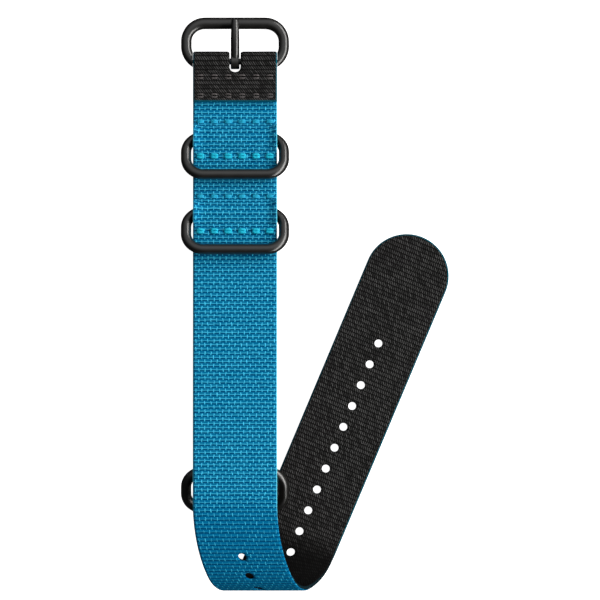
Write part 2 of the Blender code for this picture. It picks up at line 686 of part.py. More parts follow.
def build_buckle():
    """Bow and pin, drawn level round the pin axis and tipped until the bow lies down."""
    top_bar = BUCKLE_CENTRE + BUCKLE_HEIGHT / 2 - TOP_BAR_WIRE / 2
    holder = bpy.data.objects.new("buckle_axis", None)
    PARTS.objects.link(holder)
    holder.parent = ROOT
    holder.location = (0, 0, PIN_HEIGHT)
    holder.rotation_euler = (-math.asin((PIN_HEIGHT - TOP_BAR_WIRE / 2) / top_bar), 0, 0)

    cheek = STRAP_WIDTH / 2 + WIRE_CLEARANCE
    line = oval_points(BUCKLE_WIDTH, BUCKLE_HEIGHT, BUCKLE_CORNER, BUCKLE_WIRE, BOW_STEPS)
    lowest = BUCKLE_CENTRE - BUCKLE_HEIGHT / 2 + BUCKLE_WIRE / 2
    straight_top = max(y for _, y, _ in line)
    shrink = (TOP_BAR_WIRE - BUCKLE_WIRE) / 2
    rise = [max(0.0, 1 - (straight_top - y) / BUCKLE_CORNER) for _, y, _ in line]
    radii = [1 + r**2 * (TOP_BAR_WIRE / BUCKLE_WIRE - 1) for r in rise]
    placed = [(x, lowest + y - r**2 * shrink, 0) for (x, y, _), r in zip(line, rise)]
    bow_mesh = tube_mesh("buckle_bow", placed, BUCKLE_WIRE / 2, True, WIRE_RESOLUTION, radii)
    bow = add_part("buckle_bow", bow_mesh, DARK_STEEL, parent=holder)
    channel_top = EYE_REACH + STRAP_THICKNESS / 2 + WIRE_CLEARANCE
    low = (-cheek, lowest - BUCKLE_WIRE, -BUCKLE_WIRE)
    channel = box_mesh("strap_channel", low, (cheek, channel_top, BUCKLE_WIRE))
    cut_away(bow, add_cutter("strap_channel", channel, holder))
    hole_reach = cheek + PIN_TIP_LENGTH
    hole = rod_mesh("pin_holes", -hole_reach, hole_reach, PIN_TIP_RADIUS + PIN_CLEARANCE, PIN_TIP_SIDES)
    cut_away(bow, add_cutter("pin_holes", hole, holder))
    smooth_faces(bow)

    shoulder = cheek - WIRE_CLEARANCE
    pin_mesh = rod_mesh("buckle_pin", -shoulder, shoulder, PIN_RADIUS)
    pin = add_part("buckle_pin", pin_mesh, DARK_STEEL, parent=holder)
    tip_reach = hole_reach - PIN_CLEARANCE
    tips = rod_mesh("pin_tips", -tip_reach, tip_reach, PIN_TIP_RADIUS, PIN_TIP_SIDES)
    cut_away(pin, add_cutter("pin_tips", tips, holder), "UNION")
    smooth_faces(pin)
    return holder, top_bar


def build_tongue(holder, top_bar):
    """A round prong on an eye that turns on the pin. Its tip rests on the bow's top bar."""
    bore = PIN_RADIUS + PIN_CLEARANCE
    eye_radius = bore + TONGUE_EYE_WALL
    half = TONGUE_WIDTH / 2
    over = TOP_BAR_WIRE / 2 + WIRE_CLEARANCE + half * TONGUE_TIP_SHARE
    reach = top_bar + TONGUE_OVERHANG
    t = np.linspace(0, 1, PRONG_STATIONS)
    y = eye_radius / 2 + (reach - eye_radius / 2) * t
    rise = np.sin(np.clip(t / TONGUE_RISE_SHARE, 0, 1) * math.pi / 2)
    z = (eye_radius - half) + (over - eye_radius + half) * rise
    radii = np.interp(t, TAPER_PLACE_SHARES, TAPER_SIZE_SHARES)
    points = [(0, a, b) for a, b in zip(y, z)]
    prong = tube_mesh("buckle_tongue", points, half, False, WIRE_RESOLUTION, radii)
    tongue = add_part("buckle_tongue", prong, DARK_STEEL, parent=holder)
    eye = rod_mesh("tongue_eye", -half, half, eye_radius, EYE_SIDES)
    cut_away(tongue, add_cutter("tongue_eye", eye, holder), "UNION")
    hole = rod_mesh("tongue_bore", -TONGUE_WIDTH, TONGUE_WIDTH, bore)
    cut_away(tongue, add_cutter("tongue_bore", hole, holder))
    smooth_faces(tongue)


def settle_on_origin():
    """Move the whole strap so that its box stands centred on the origin."""
    bpy.context.view_layer.update()
    points = np.array([
        part.matrix_world @ vert.co
        for part in PARTS.objects if part.type == "MESH" for vert in part.data.vertices])
    low, high = points.min(axis=0), points.max(axis=0)
    ROOT.location = (-(low[0] + high[0]) / 2, -(low[1] + high[1]) / 2, -low[2])
    bpy.context.view_layer.update()
    print("size in mm", np.round((high - low) / MM, 2))


build_main_strap()
build_keeper_strap()
build_seams()
build_rings()
build_tongue(*build_buckle())
settle_on_origin()
for moving in ("keeper_ring_upper", "keeper_ring_lower", "end_ring", "buckle_tongue", "buckle_bow"):
    print(moving, "axis through", [round(v, 6) for v in bpy.data.objects[moving].matrix_world.translation])
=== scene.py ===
# %% [markdown]
# # A woven watch strap, from cloth to buckle
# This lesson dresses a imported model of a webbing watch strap. The model fixes every place and every
# joint, and the cells here give its pieces their fine surfaces and finishes. Lengths are in metres,
# +Z is up, and +Y runs along the front of the strap towards its buckle.

# %% Open the frame
import math

import bpy
import numpy as np
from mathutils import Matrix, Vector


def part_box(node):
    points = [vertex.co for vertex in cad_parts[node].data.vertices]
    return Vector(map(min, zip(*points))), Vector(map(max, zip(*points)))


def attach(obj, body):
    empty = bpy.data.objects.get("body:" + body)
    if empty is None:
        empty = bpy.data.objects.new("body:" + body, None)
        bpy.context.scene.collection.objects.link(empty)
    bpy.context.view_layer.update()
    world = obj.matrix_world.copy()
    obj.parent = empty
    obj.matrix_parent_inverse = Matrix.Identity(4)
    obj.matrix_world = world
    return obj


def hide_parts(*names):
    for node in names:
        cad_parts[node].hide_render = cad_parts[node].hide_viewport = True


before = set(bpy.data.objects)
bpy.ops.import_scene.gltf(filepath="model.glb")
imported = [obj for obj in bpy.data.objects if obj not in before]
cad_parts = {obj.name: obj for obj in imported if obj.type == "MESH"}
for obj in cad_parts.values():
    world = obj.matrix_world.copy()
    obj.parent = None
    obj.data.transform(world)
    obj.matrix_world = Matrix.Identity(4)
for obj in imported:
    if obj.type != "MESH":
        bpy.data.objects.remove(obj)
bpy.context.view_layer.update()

MM = 0.001


# %% [markdown]
# ## The finishes' arithmetic
# A finish is a sum: how far along the cloth, how near to a ridge, how bright the yarn is there.
# Wired by hand such a sum is long and hard to follow. A class that stands for one socket and knows
# plus, minus, times and divide lets the sum be written as it is said, and adds the nodes itself.

# %% One class for sums, one method for any node
FINE_DETAIL = 3.0


class Dye:
    """One socket of a finish. A sum on it adds Math nodes."""

    def __init__(self, socket):
        self.socket = socket

    def make(self, kind, settings, values, output=0):
        """Add a node of a kind: its settings first, then values or links for its sockets."""
        tree = self.socket.id_data
        node = tree.nodes.new(kind)
        for name, setting in settings.items():
            setattr(node, name, setting)
        for place, value in values.items():
            if isinstance(value, Dye):
                tree.links.new(value.socket, node.inputs[place])
            else:
                node.inputs[place].default_value = value
        return Dye(node.outputs[output])

    def math(self, operation, *values):
        return self.make("ShaderNodeMath", {"operation": operation}, dict(enumerate(values)))

    def __add__(self, other):
        return self.math("ADD", self, other)

    def __sub__(self, other):
        return self.math("SUBTRACT", self, other)

    def __mul__(self, other):
        return self.math("MULTIPLY", self, other)

    def __truediv__(self, other):
        return self.math("DIVIDE", self, other)

    def __radd__(self, other):
        return self.math("ADD", other, self)

    def __rsub__(self, other):
        return self.math("SUBTRACT", other, self)

    def __rmul__(self, other):
        return self.math("MULTIPLY", other, self)

    def floor(self):
        return self.math("FLOOR", self)

    def nearest(self):
        """The nearest whole number."""
        return (self + 0.5).floor()

    def beside(self):
        """How far past the nearest whole number this is: -0.5 to 0.5."""
        return self.math("FRACT", self + 0.5) - 0.5

    def size(self):
        return self.math("ABSOLUTE", self)

    def brighter(self, other):
        return self.math("MAXIMUM", self, other)

    def part(self, number):
        """One number of a vector."""
        return self.make("ShaderNodeSeparateXYZ", {}, {0: self}, number)

    def fade(self, start, end):
        """1 up to the start, 0 from the end on, with a soft step between."""
        settings = {"interpolation_type": "SMOOTHSTEP"}
        values = {"Value": self, "From Min": start, "From Max": end, "To Min": 1.0, "To Max": 0.0}
        return self.make("ShaderNodeMapRange", settings, values)

    def mix(self, low, high):
        """The low colour where this is 0 and the high colour where it is 1."""
        return self.make("ShaderNodeMix", {"data_type": "RGBA"}, {0: self, 6: low, 7: high}, 2)

    def noise(self, scale, detail=2.0):
        return self.make("ShaderNodeTexNoise", {}, {"Vector": self, "Scale": scale, "Detail": detail})

    def drift(self, scale, reach):
        """Slow noise about nothing, from minus to plus half its reach."""
        return (self.noise(scale) - 0.5) * reach

    def fibres(self, stretch, detail=FINE_DETAIL):
        """Noise drawn out by a pair of scales."""
        scale = (*stretch, 1.0)
        return self.make("ShaderNodeMapping", {}, {"Vector": self, "Scale": scale}).noise(1.0, detail)

    def chance(self, across, along):
        """A number from 0 to 1, drawn afresh for each pair of whole numbers."""
        cell = self.make("ShaderNodeCombineXYZ", {}, {0: across, 1: along})
        return self.make("ShaderNodeTexWhiteNoise", {"noise_dimensions": "2D"}, {"Vector": cell})

    def bump(self, depth, strength):
        """Normals that this height tilts."""
        values = {"Height": self, "Distance": depth, "Strength": strength}
        return self.make("ShaderNodeBump", {}, values)


def new_finish(name, colour, roughness, specular):
    """A material with its constants on the shader's own sockets."""
    material = bpy.data.materials.new(name)
    material.use_nodes = True
    material.diffuse_color = (*colour[:3], 1.0)
    shader = material.node_tree.nodes["Principled BSDF"]
    shader.inputs["Base Color"].default_value = colour
    shader.inputs["Roughness"].default_value = roughness
    shader.inputs["Specular IOR Level"].default_value = specular
    return material, shader


def feed(shader, colour, roughness, bump):
    """Link what changes over the surface."""
    for socket, dye in (("Base Color", colour), ("Roughness", roughness), ("Normal", bump)):
        shader.id_data.links.new(dye.socket, shader.inputs[socket])


def map_place(shader, name):
    """Place on a piece's own map, as one vector and as its two numbers."""
    place = Dye(shader.outputs[0]).make("ShaderNodeUVMap", {"uv_map": name}, {})
    return place, place.part(0), place.part(1)


print("sums are ready")

# %% [markdown]
# ## Blue face
# The blue face is a ribbed weave. Each rib's crest shows as a fine, slightly wavy light line, and
# short ties stand on the crest like stitches on a rope: the weave's pattern, with a painted highlight
# where crests and ties catch the light. Below each crest lies a dark valley of painted shade. Towards
# the bend the colour is darkened as painted shade, and a painted highlight runs along both edges. The
# pattern could be painted, but a weave has a rule, so the finish follows the rule: rows, then ties
# with a half step on every other row, then a chance that makes each tie a little different. In the
# values, a pair called a width or a length says where a mark starts to fade and where it is gone,
# as a share of its row or tie. A drift is a noise's scale and its reach.

# %% Blue face of the webbing
ROW_PITCH = 1.09 * MM
TIES_ACROSS = 14
STRAP_WIDTH = 22.0 * MM
TIE_PITCH = STRAP_WIDTH / TIES_ACROSS

CLOTH_MAP = "cloth"
EDGE_VALUE = "edge_mm"
# Valley blue is painted shade under each crest. Crest blue is the weave's crest colour, lifted as a
# painted highlight.
VALLEY_SHADE_BLUE = (0.0, 0.068, 0.175, 1.0)
BODY_BLUE = (0.0, 0.152, 0.338, 1.0)
CREST_HIGHLIGHT_BLUE = (0.065, 0.630, 0.920, 1.0)
# A painted highlight along both edges of the blue face.
EDGE_HIGHLIGHT_CYAN = (0.160, 0.750, 0.900, 1.0)
WAVE_STRETCH = (0.45, 0.9)
WAVE = 0.38
CREST_WIDTH = (0.0, 0.13)
CREST_FLOOR = 0.42
CREST_GAIN = 1.3
TIE_DRIFT = (0.8, 0.45)
TIE_WIDTH = (0.02, 0.09)
TIE_LENGTH = (0.36, 0.50)
TIE_FLOOR = 0.48
TIE_HIGHLIGHT = 0.8
VALLEY_SHADE_AT = 0.27
VALLEY_SHADE_WIDTH = (0.06, 0.34)
STREAK_STRETCH = (2.0, 1.0)
YARN_STRETCH = (3.0, 14.0)
YARN_SHARE = 0.5
TONE_DRIFT = (0.35, 0.25)
EDGE_HIGHLIGHT_REACH_MM = (0.04, 0.30)
EDGE_HIGHLIGHT_FLOOR = 0.3
# Painted shade in the bend: the cloth's colour is darkened from the bend's middle out to its reach.
BEND_MIDDLE_MM = 160.0
BEND_SHADE_REACH_MM = (18.0, 29.0)
BEND_SHADE_DIM = 0.47
BEND_SHADE_TIE_LOSS = 0.2
BLUE_ROUGH, BLUE_GLOSS = 0.9, 0.25
YARN_RELIEF = 0.3
BLUE_RELIEF = 0.06 * MM
CLOTH_BUMP = 0.7


def edge_of(place):
    """Distance to the nearest edge of the cloth, in millimetres."""
    return place.make("ShaderNodeAttribute", {"attribute_name": EDGE_VALUE}, {}, 2)


def bend_shade_mask(along):
    """1 in the bend and 0 elsewhere: a mask of painted shade, where the cloth turns away from the light
    and the front shades the tail.
    """
    return (along - BEND_MIDDLE_MM).size().fade(*BEND_SHADE_REACH_MM)


def blue_face():
    """Crests and ties over a body with dark valleys, partly weave pattern and partly painted highlight and
    shade, with a painted highlight along both edges.
    """
    material, shader = new_finish("blue_face", CREST_HIGHLIGHT_BLUE, roughness=0.8, specular=0.03)
    place, across, along = map_place(shader, CLOTH_MAP)
    # bend is the mask of painted shade in the bend.
    bend = bend_shade_mask(along)
    wave = place.fibres(WAVE_STRETCH, detail=2.0) - 0.5
    row_place = along / (ROW_PITCH / MM) + wave * WAVE
    row, below = row_place.nearest(), row_place.beside()
    half_step = place.math("FLOORED_MODULO", row, 2.0) * 0.5
    tie_place = across / (TIE_PITCH / MM) + half_step + place.drift(*TIE_DRIFT)
    chance = place.chance(tie_place.nearest(), row)
    ties = tie_place.beside().size().fade(*TIE_WIDTH) * below.size().fade(*TIE_LENGTH)
    # The ties lose some of their brightness in the painted shade of the bend.
    ties = ties * (TIE_FLOOR + (1 - TIE_FLOOR) * chance) * (1 - BEND_SHADE_TIE_LOSS * bend)
    streak = place.fibres(STREAK_STRETCH)
    # Crest lines: partly the weave's pattern, partly painted highlight.
    crests = below.size().fade(*CREST_WIDTH) * (CREST_FLOOR + (1 - CREST_FLOOR) * streak * CREST_GAIN)
    # Valleys: painted shade, set just below each crest.
    valleys = (below - VALLEY_SHADE_AT).size().fade(*VALLEY_SHADE_WIDTH)
    yarn = place.fibres(YARN_STRETCH)
    tone = (yarn - 0.5) * YARN_SHARE + place.drift(*TONE_DRIFT)
    # Painted light: a highlight on crests and ties, less the painted shade of the bend, over the yarn's
    # own tone.
    bright = crests.brighter(ties) + ties * TIE_HIGHLIGHT + tone - bend * BEND_SHADE_DIM
    cloth_blue = bright.mix(valleys.mix(BODY_BLUE, VALLEY_SHADE_BLUE), CREST_HIGHLIGHT_BLUE)
    # Painted highlight along both edges, taken away in the painted shade of the bend.
    edge = edge_of(place).fade(*EDGE_HIGHLIGHT_REACH_MM) * (1 - bend) * (EDGE_HIGHLIGHT_FLOOR + streak)
    bump = (bright + yarn * YARN_RELIEF).bump(BLUE_RELIEF, CLOTH_BUMP)
    feed(shader, edge.mix(cloth_blue, EDGE_HIGHLIGHT_CYAN), BLUE_ROUGH - bright * BLUE_GLOSS, bump)
    return material


BLUE_FACE = blue_face()
print("blue rows every", ROW_PITCH / MM, "mm, ties every", round(TIE_PITCH / MM, 2), "mm")

# %% [markdown]
# ## Black face
# The back of the same cloth is black. Here the yarns slant across each row, so the light picks out
# short flecks that lean one way. At the edges a blue yarn from the other face shows as a thin line.
# The flecks use the same rows as the blue face, because it is one cloth.

# %% Black face of the webbing
FLECKS_ACROSS = 36
FLECK_PITCH = STRAP_WIDTH / FLECKS_ACROSS
FLECK_LEAN = 1.5
FLECK_DRIFT = (1.2, 0.3)
FLECK_WIDTH = (0.0, 0.36)
FLECK_LENGTH = (0.22, 0.50)
FLECK_FLOOR = 0.25
ROW_SEED = 7.0
GROUND_BLACK = (0.0038, 0.0037, 0.0037, 1.0)
FLECK_GREY = (0.110, 0.109, 0.109, 1.0)
EDGE_TEAL = (0.003, 0.105, 0.150, 1.0)
TEAL_REACH_MM = (0.12, 0.42)
FUZZ_STRETCH = (5.0, 5.0)
FUZZ_SHARE = 0.35
# How far the painted shade in the bend darkens the black face.
BEND_SHADE_DARKENS = 0.9
BLACK_ROUGH, BLACK_GLOSS = 0.92, 0.2
BLACK_RELIEF = 0.05 * MM


def black_face():
    """Leaning flecks, a chance for each, and a teal line along both edges."""
    material, shader = new_finish("black_face", GROUND_BLACK, roughness=0.9, specular=0.02)
    place, across, along = map_place(shader, CLOTH_MAP)
    row_place = along / (ROW_PITCH / MM)
    row = row_place.floor()
    share = row_place - row
    fleck_place = across / (FLECK_PITCH / MM) + share * FLECK_LEAN + place.drift(*FLECK_DRIFT)
    fleck_place = fleck_place + place.chance(row, ROW_SEED)
    chance = place.chance(fleck_place.nearest(), row)
    flecks = fleck_place.beside().size().fade(*FLECK_WIDTH) * (share - 0.5).size().fade(*FLECK_LENGTH)
    flecks = flecks * (FLECK_FLOOR + (1 - FLECK_FLOOR) * chance)
    fuzz = place.fibres(FUZZ_STRETCH)
    # Painted shade: the flecks and the teal edge darken in the bend, where the front shades the tail.
    clear_of_bend_shade = 1 - BEND_SHADE_DARKENS * bend_shade_mask(along)
    bright = (flecks + (fuzz - 0.5) * FUZZ_SHARE) * clear_of_bend_shade
    edge = edge_of(place).fade(*TEAL_REACH_MM) * clear_of_bend_shade
    bump = (bright + fuzz * YARN_RELIEF).bump(BLACK_RELIEF, CLOTH_BUMP)
    colour = edge.mix(bright.mix(GROUND_BLACK, FLECK_GREY), EDGE_TEAL)
    feed(shader, colour, BLACK_ROUGH - bright * BLACK_GLOSS, bump)
    return material


BLACK_FACE = black_face()
print("black flecks every", round(FLECK_PITCH / MM, 2), "mm")

# %% [markdown]
# ## Thread and coated steel
# Sewing thread is two or three fine yarns twisted together, so its light comes in slanting stripes.
# The rings and buckle are steel under a black coat: dark, smooth enough for a broad soft highlight,
# and a little uneven, which breaks the highlight up. Both get small changes of roughness as well as
# of height, because a coat that is equally smooth all over looks like plastic.

# %% Threads and coat
THREAD_MAP = "thread"
TWIST_PITCH = 0.9 * MM
TWIST_WIDTH = (0.15, 0.5)
TWIST_SHARE = 0.4
HAIR_STRETCH = (2.0, 20.0)
HAIR_SHARE = 0.3
HAIR_RELIEF = 0.4
THREAD_TONE = 0.45
THREAD_ROUGH, THREAD_GLOSS = 0.62, 0.15
THREAD_RELIEF = 0.05 * MM
THREAD_BUMP = 0.8
COAT_BLACK = (0.0055, 0.0053, 0.0050, 1.0)
COAT_SHADES = ((0.003, 0.0029, 0.0026, 1.0), (0.009, 0.0086, 0.0078, 1.0))
CLOUD_SCALE, GRAIN_SCALE = 380.0, 5200.0
COAT_ROUGH, CLOUD_ROUGH, GRAIN_ROUGH = 0.24, 0.08, 0.05
GRAIN_RELIEF = 0.004 * MM
GRAIN_BUMP = 0.2


def thread_finish(name, dark, light):
    """Stripes that lean back from the thread's crest on both sides, one to each pitch along it."""
    material, shader = new_finish(name, light, roughness=0.5, specular=0.3)
    place, along, around = map_place(shader, THREAD_MAP)
    twist = (along / (TWIST_PITCH / MM) + around).beside().size().fade(*TWIST_WIDTH)
    hair = place.fibres(HAIR_STRETCH)
    tone = THREAD_TONE + twist * TWIST_SHARE + hair * HAIR_SHARE
    bump = (twist + hair * HAIR_RELIEF).bump(THREAD_RELIEF, THREAD_BUMP)
    feed(shader, tone.mix(dark, light), THREAD_ROUGH - twist * THREAD_GLOSS, bump)
    return material


def coat_finish():
    material, shader = new_finish("black_coat", COAT_BLACK, roughness=0.28, specular=1.0)
    place = Dye(shader.outputs[0]).make("ShaderNodeTexCoord", {}, {}, 3)
    cloudy, grain = (place.noise(scale, FINE_DETAIL) for scale in (CLOUD_SCALE, GRAIN_SCALE))
    rough = COAT_ROUGH + cloudy * CLOUD_ROUGH + grain * GRAIN_ROUGH
    feed(shader, cloudy.mix(*COAT_SHADES), rough, grain.bump(GRAIN_RELIEF, GRAIN_BUMP))
    return material


BRIGHT_THREAD = thread_finish("bright_blue_thread", (0.0, 0.32, 0.51, 1.0), (0.008, 0.56, 0.77, 1.0))
DEEP_THREAD = thread_finish("deep_blue_thread", (0.0, 0.21, 0.40, 1.0), (0.012, 0.43, 0.67, 1.0))
BLACK_THREAD = thread_finish("black_thread", (0.030, 0.027, 0.027, 1.0), (0.120, 0.108, 0.108, 1.0))
COAT = coat_finish()
print("threads and coat are ready")

# %% [markdown]
# ## From numbers to a mesh
# Every new piece here is worked out as whole arrays: a grid of points from two parameters, and rows
# of faces over it. One function hands these arrays to Blender in single calls, which is far faster
# than adding points one by one. It also turns the faces outwards, by the sign of the volume that
# they enclose.

# %% A mesh from arrays
ACROSS = np.array([1, 0, 0])


def facing_out(points, blocks):
    """Reverse all faces if the volume they enclose, a sum of tetrahedra from the origin, is negative."""
    volume = 0.0
    for block in blocks:
        first = points[block[:, 0]]
        for place in range(1, block.shape[1] - 1):
            cross = np.cross(points[block[:, place]], points[block[:, place + 1]])
            volume += np.einsum("ij,ij->i", first, cross).sum()
    return blocks if volume > 0 else [block[:, ::-1] for block in blocks]


def skin(name, points, blocks, marks=None):
    """A mesh from points and blocks of three- or four-cornered faces, with a finish number a block."""
    blocks = facing_out(points, blocks)
    counts = np.concatenate([np.full(len(block), block.shape[1]) for block in blocks])
    mesh = bpy.data.meshes.new(name)
    mesh.vertices.add(len(points))
    mesh.vertices.foreach_set("co", points.astype(np.float32).ravel())
    mesh.loops.add(int(counts.sum()))
    mesh.loops.foreach_set("vertex_index", np.concatenate([block.ravel() for block in blocks]))
    mesh.polygons.add(len(counts))
    mesh.polygons.foreach_set("loop_start", np.concatenate([[0], np.cumsum(counts)[:-1]]))
    if marks is not None:
        numbers = [np.full(len(block), mark) for block, mark in zip(blocks, marks)]
        mesh.polygons.foreach_set("material_index", np.concatenate(numbers))
    mesh.update(calc_edges=True)
    mesh.validate()
    mesh.shade_smooth()
    return mesh


def add_map(mesh, name, values):
    """Give each corner of a face its point's pair of values."""
    at = np.empty(len(mesh.loops), dtype=int)
    mesh.loops.foreach_get("vertex_index", at)
    mesh.uv_layers.new(name=name).data.foreach_set("uv", values[at].astype(np.float32).ravel())


def placed(name, data):
    """A new object in the scene."""
    thing = bpy.data.objects.new(name, data)
    bpy.context.scene.collection.objects.link(thing)
    return thing


def finished(mesh, body, slot, replaced, *finishes):
    """Place a mesh in the scene, on its body, in the stead of its node."""
    piece = placed(mesh.name, mesh)
    for finish in finishes:
        mesh.materials.append(finish)
    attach(piece, body)
    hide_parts(replaced)
    return piece


def full_turn(sides):
    """Evenly spaced angles round a circle."""
    return np.linspace(0, 2 * math.pi, sides, endpoint=False)


def grid_faces(rows, columns, closed_rows):
    """Four-cornered faces over a grid whose columns close on themselves."""
    i = np.arange(rows if closed_rows else rows - 1)[:, None]
    j = np.arange(columns)[None, :]
    after_i, after_j = (i + 1) % rows, (j + 1) % columns
    quads = [i * columns + j, after_i * columns + j, after_i * columns + after_j, i * columns + after_j]
    return np.stack([np.broadcast_to(q, (len(i), columns)).ravel() for q in quads], axis=1)


def looped(grid):
    """Points and faces of a grid that closes on itself both ways, as a ring does."""
    return grid.reshape(-1, 3), [grid_faces(*grid.shape[:2], True)]


def capped(grid, poles):
    """Points and faces of a grid closed round its columns, with one point at each end."""
    rows, columns = grid.shape[:2]
    j = np.arange(columns)
    ends = []
    for first, pole in ((0, rows * columns), ((rows - 1) * columns, rows * columns + 1)):
        ends.append(np.stack([first + j, first + (j + 1) % columns, np.full(columns, pole)], axis=1))
    blocks = [grid_faces(rows, columns, False), ends[0], ends[1][:, ::-1]]
    return np.concatenate([grid.reshape(-1, 3), poles]), blocks


print("arrays can be made into meshes")

# %% [markdown]
# ## The strap's path
# The strap is one long strip, and what shapes it is the path that it is laid along: out from the
# end of the tab, round the buckle's pin, down the sloping front, round the bend and back along the
# surface. The path is a dense row of (y, z) points with the pin's axis over the origin, built from
# straight runs, half cosine waves over each ring's bar, and arcs at the bend.

# %% Sizes of the path
STRAP_THICKNESS = 1.3 * MM
LAYER_GAP = 0.3 * MM
LAYER_PITCH = STRAP_THICKNESS + LAYER_GAP
HALF_LAYERS = LAYER_PITCH / 2
RING_WIRE = 2.72 * MM
RING_WIDTH = 28.3 * MM
RING_HEIGHT = 13.8 * MM
RING_CORNER = 5.9 * MM
RING_REACH = RING_HEIGHT - RING_WIRE
WIRE_CLEARANCE = 0.3 * MM
WIRE_TO_MIDDLE = RING_WIRE / 2 + WIRE_CLEARANCE + STRAP_THICKNESS / 2
PIN_HEIGHT = WIRE_TO_MIDDLE + STRAP_THICKNESS / 2
EYE_REACH = 2.0 * MM
SEAM_RELIEF = 0.5 * MM
TAB_LENGTH = 10.7 * MM
TAB_SEAMS = (4.2 * MM, 9.2 * MM)
KEEPER_START = 12.4 * MM
FIRST_BAR = 19.6 * MM
BAR_SPACING = 19.8 * MM
BARS = (FIRST_BAR, FIRST_BAR + BAR_SPACING)
POCKET_ABOVE = 3.8 * MM
POCKET_BELOW = 5.35 * MM
POCKET_CROWN = 0.3 * MM
POCKET_SEAMS = tuple(bar + off for bar in BARS for off in (-POCKET_ABOVE, POCKET_BELOW))
FRONT_BULGE = 1.1 * MM
BAR_DEPTH = WIRE_TO_MIDDLE - FRONT_BULGE
FREE_BAR_LIFT = 0.6 * MM
MOUTH_FLARE = 1.1 * MM
MOUTH_DEPTH = 3.2 * MM
MOUTH_CROWN = 2.2 * MM
FRONT_SLOPE = math.radians(8.0)
FRONT_LENGTH = 116.4 * MM
SHOULDER_RADIUS = 26.2 * MM
SHOULDER_TURN = math.radians(34)
NOSE_RADIUS = 9.25 * MM
TAIL_ANGLE = math.radians(22.8)
NOSE_DRIFT_SHARE = 0.538
HEEL_DRIFT_SHARE = 0.62
HEEL_LENGTH = 6.0 * MM
SKEW_LEAD = 1.9 * MM
SKEW_TRAIL = 9.3 * MM
TAIL_START = 12.7 * MM
END_BAR_BEFORE_BEND = 8.0672 * MM
END_BAR_REACH = FRONT_LENGTH * math.cos(FRONT_SLOPE) - END_BAR_BEFORE_BEND
END_RING_DROP = math.radians(29.3)
LOOP_SEAMS = (4.2 * MM, 9.2 * MM)
LOOP_TAB_LENGTH = 10.7 * MM
LOOP_LEAD = 3.0 * MM
PATH_STEP = 0.05 * MM

# The end ring's captured bar, as (y, z): from there its free bar hangs just over the tail.
FREE_BAR_HEIGHT = STRAP_THICKNESS + WIRE_CLEARANCE + RING_WIRE / 2
END_BAR = np.array([-END_BAR_REACH, FREE_BAR_HEIGHT + RING_REACH * math.sin(END_RING_DROP)])

pin_low, pin_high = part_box("buckle_pin")
PIN_AXIS = (np.array(pin_low) + np.array(pin_high)) / 2
PIN_FRAME = PIN_AXIS - np.array([0, 0, PIN_HEIGHT])
print("pin axis in mm", np.round(PIN_AXIS / MM, 3))

# %% Straight runs, pockets and folds


def on_front(along, above):
    """Points given down the sloping front and square to it, as (y, z)."""
    c, s = math.cos(FRONT_SLOPE), math.sin(FRONT_SLOPE)
    return np.stack([-along * c + above * s, PIN_HEIGHT + along * s + above * c], axis=-1)


def in_model(point):
    """A (y, z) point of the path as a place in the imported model."""
    return np.array([0, *point]) + PIN_FRAME


def raised(distance, crown, foot):
    """1 within the crown, falling to 0 at the foot as half a cosine wave."""
    t = np.clip((np.abs(distance) - crown) / (foot - crown), 0, 1)
    return (1 + np.cos(math.pi * t)) / 2


def pocket_shape(along, bar, crown):
    """How full a pocket is at each place down the front."""
    beyond = along - bar
    foot = np.where(beyond < 0, POCKET_ABOVE - SEAM_RELIEF, POCKET_BELOW - SEAM_RELIEF)
    return raised(beyond, crown, foot)


def eye_height(down, seam):
    """Half the height of a fold round a bar: half a wave up from the seam to the bar."""
    return HALF_LAYERS + (WIRE_TO_MIDDLE - HALF_LAYERS) * raised(down, 0, seam - SEAM_RELIEF)


def eye_points(seam, reach):
    """The fold round a bar at (0, 0): up from the seam, half a turn, and back."""
    steps = int(seam / PATH_STEP)
    down = np.linspace(seam, 0, steps, endpoint=False)
    upper = np.stack([down, eye_height(down, seam)], axis=1)
    turn = np.linspace(0, math.pi, 2 * steps)
    nose = np.stack([-reach * np.sin(turn), WIRE_TO_MIDDLE * np.cos(turn)], axis=1)
    return np.concatenate([upper, nose, (upper * [1, -1])[::-1]])


def steps_between(start, end):
    return np.arange(start, end, PATH_STEP)


def main_front_points():
    """Tab, fold and sloping front, which each ring's bar lifts a little."""
    tab = on_front(-steps_between(-TAB_LENGTH, -TAB_SEAMS[0]), HALF_LAYERS)
    fold = on_front(*eye_points(TAB_SEAMS[0], EYE_REACH).T)
    along = steps_between(TAB_SEAMS[0] + PATH_STEP, FRONT_LENGTH)
    bulge = sum(pocket_shape(along, bar, POCKET_CROWN) for bar in BARS)
    return np.concatenate([tab, fold, on_front(along, -HALF_LAYERS + FRONT_BULGE * bulge)])


def bend_points(start, tail_length):
    """Shoulder, nose, heel and tail: the direction turns by arc length over radius on each arc."""
    nose_turn = math.pi / 2 - SHOULDER_TURN
    fall = SHOULDER_RADIUS * (math.cos(FRONT_SLOPE) - math.cos(SHOULDER_TURN))
    fall += NOSE_RADIUS * math.cos(SHOULDER_TURN)
    heel_radius = start[1] - fall - STRAP_THICKNESS / 2
    shoulder = (SHOULDER_RADIUS, SHOULDER_TURN + FRONT_SLOPE)
    runs = (shoulder, (NOSE_RADIUS, nose_turn), (heel_radius, math.pi / 2))
    bend_length = sum(radius * turn for radius, turn in runs)
    distance = steps_between(PATH_STEP, bend_length + tail_length)
    turned = np.full(len(distance), -FRONT_SLOPE)
    done = 0
    for radius, turn in runs:
        turned += np.clip((distance - done) / radius, 0, turn)
        done += radius * turn
    y = start[0] + np.cumsum(-np.cos(turned) * PATH_STEP)
    z = start[1] + np.cumsum(-np.sin(turned) * PATH_STEP)
    return np.stack([y, z], axis=1), shoulder[0] * shoulder[1] + NOSE_RADIUS * nose_turn


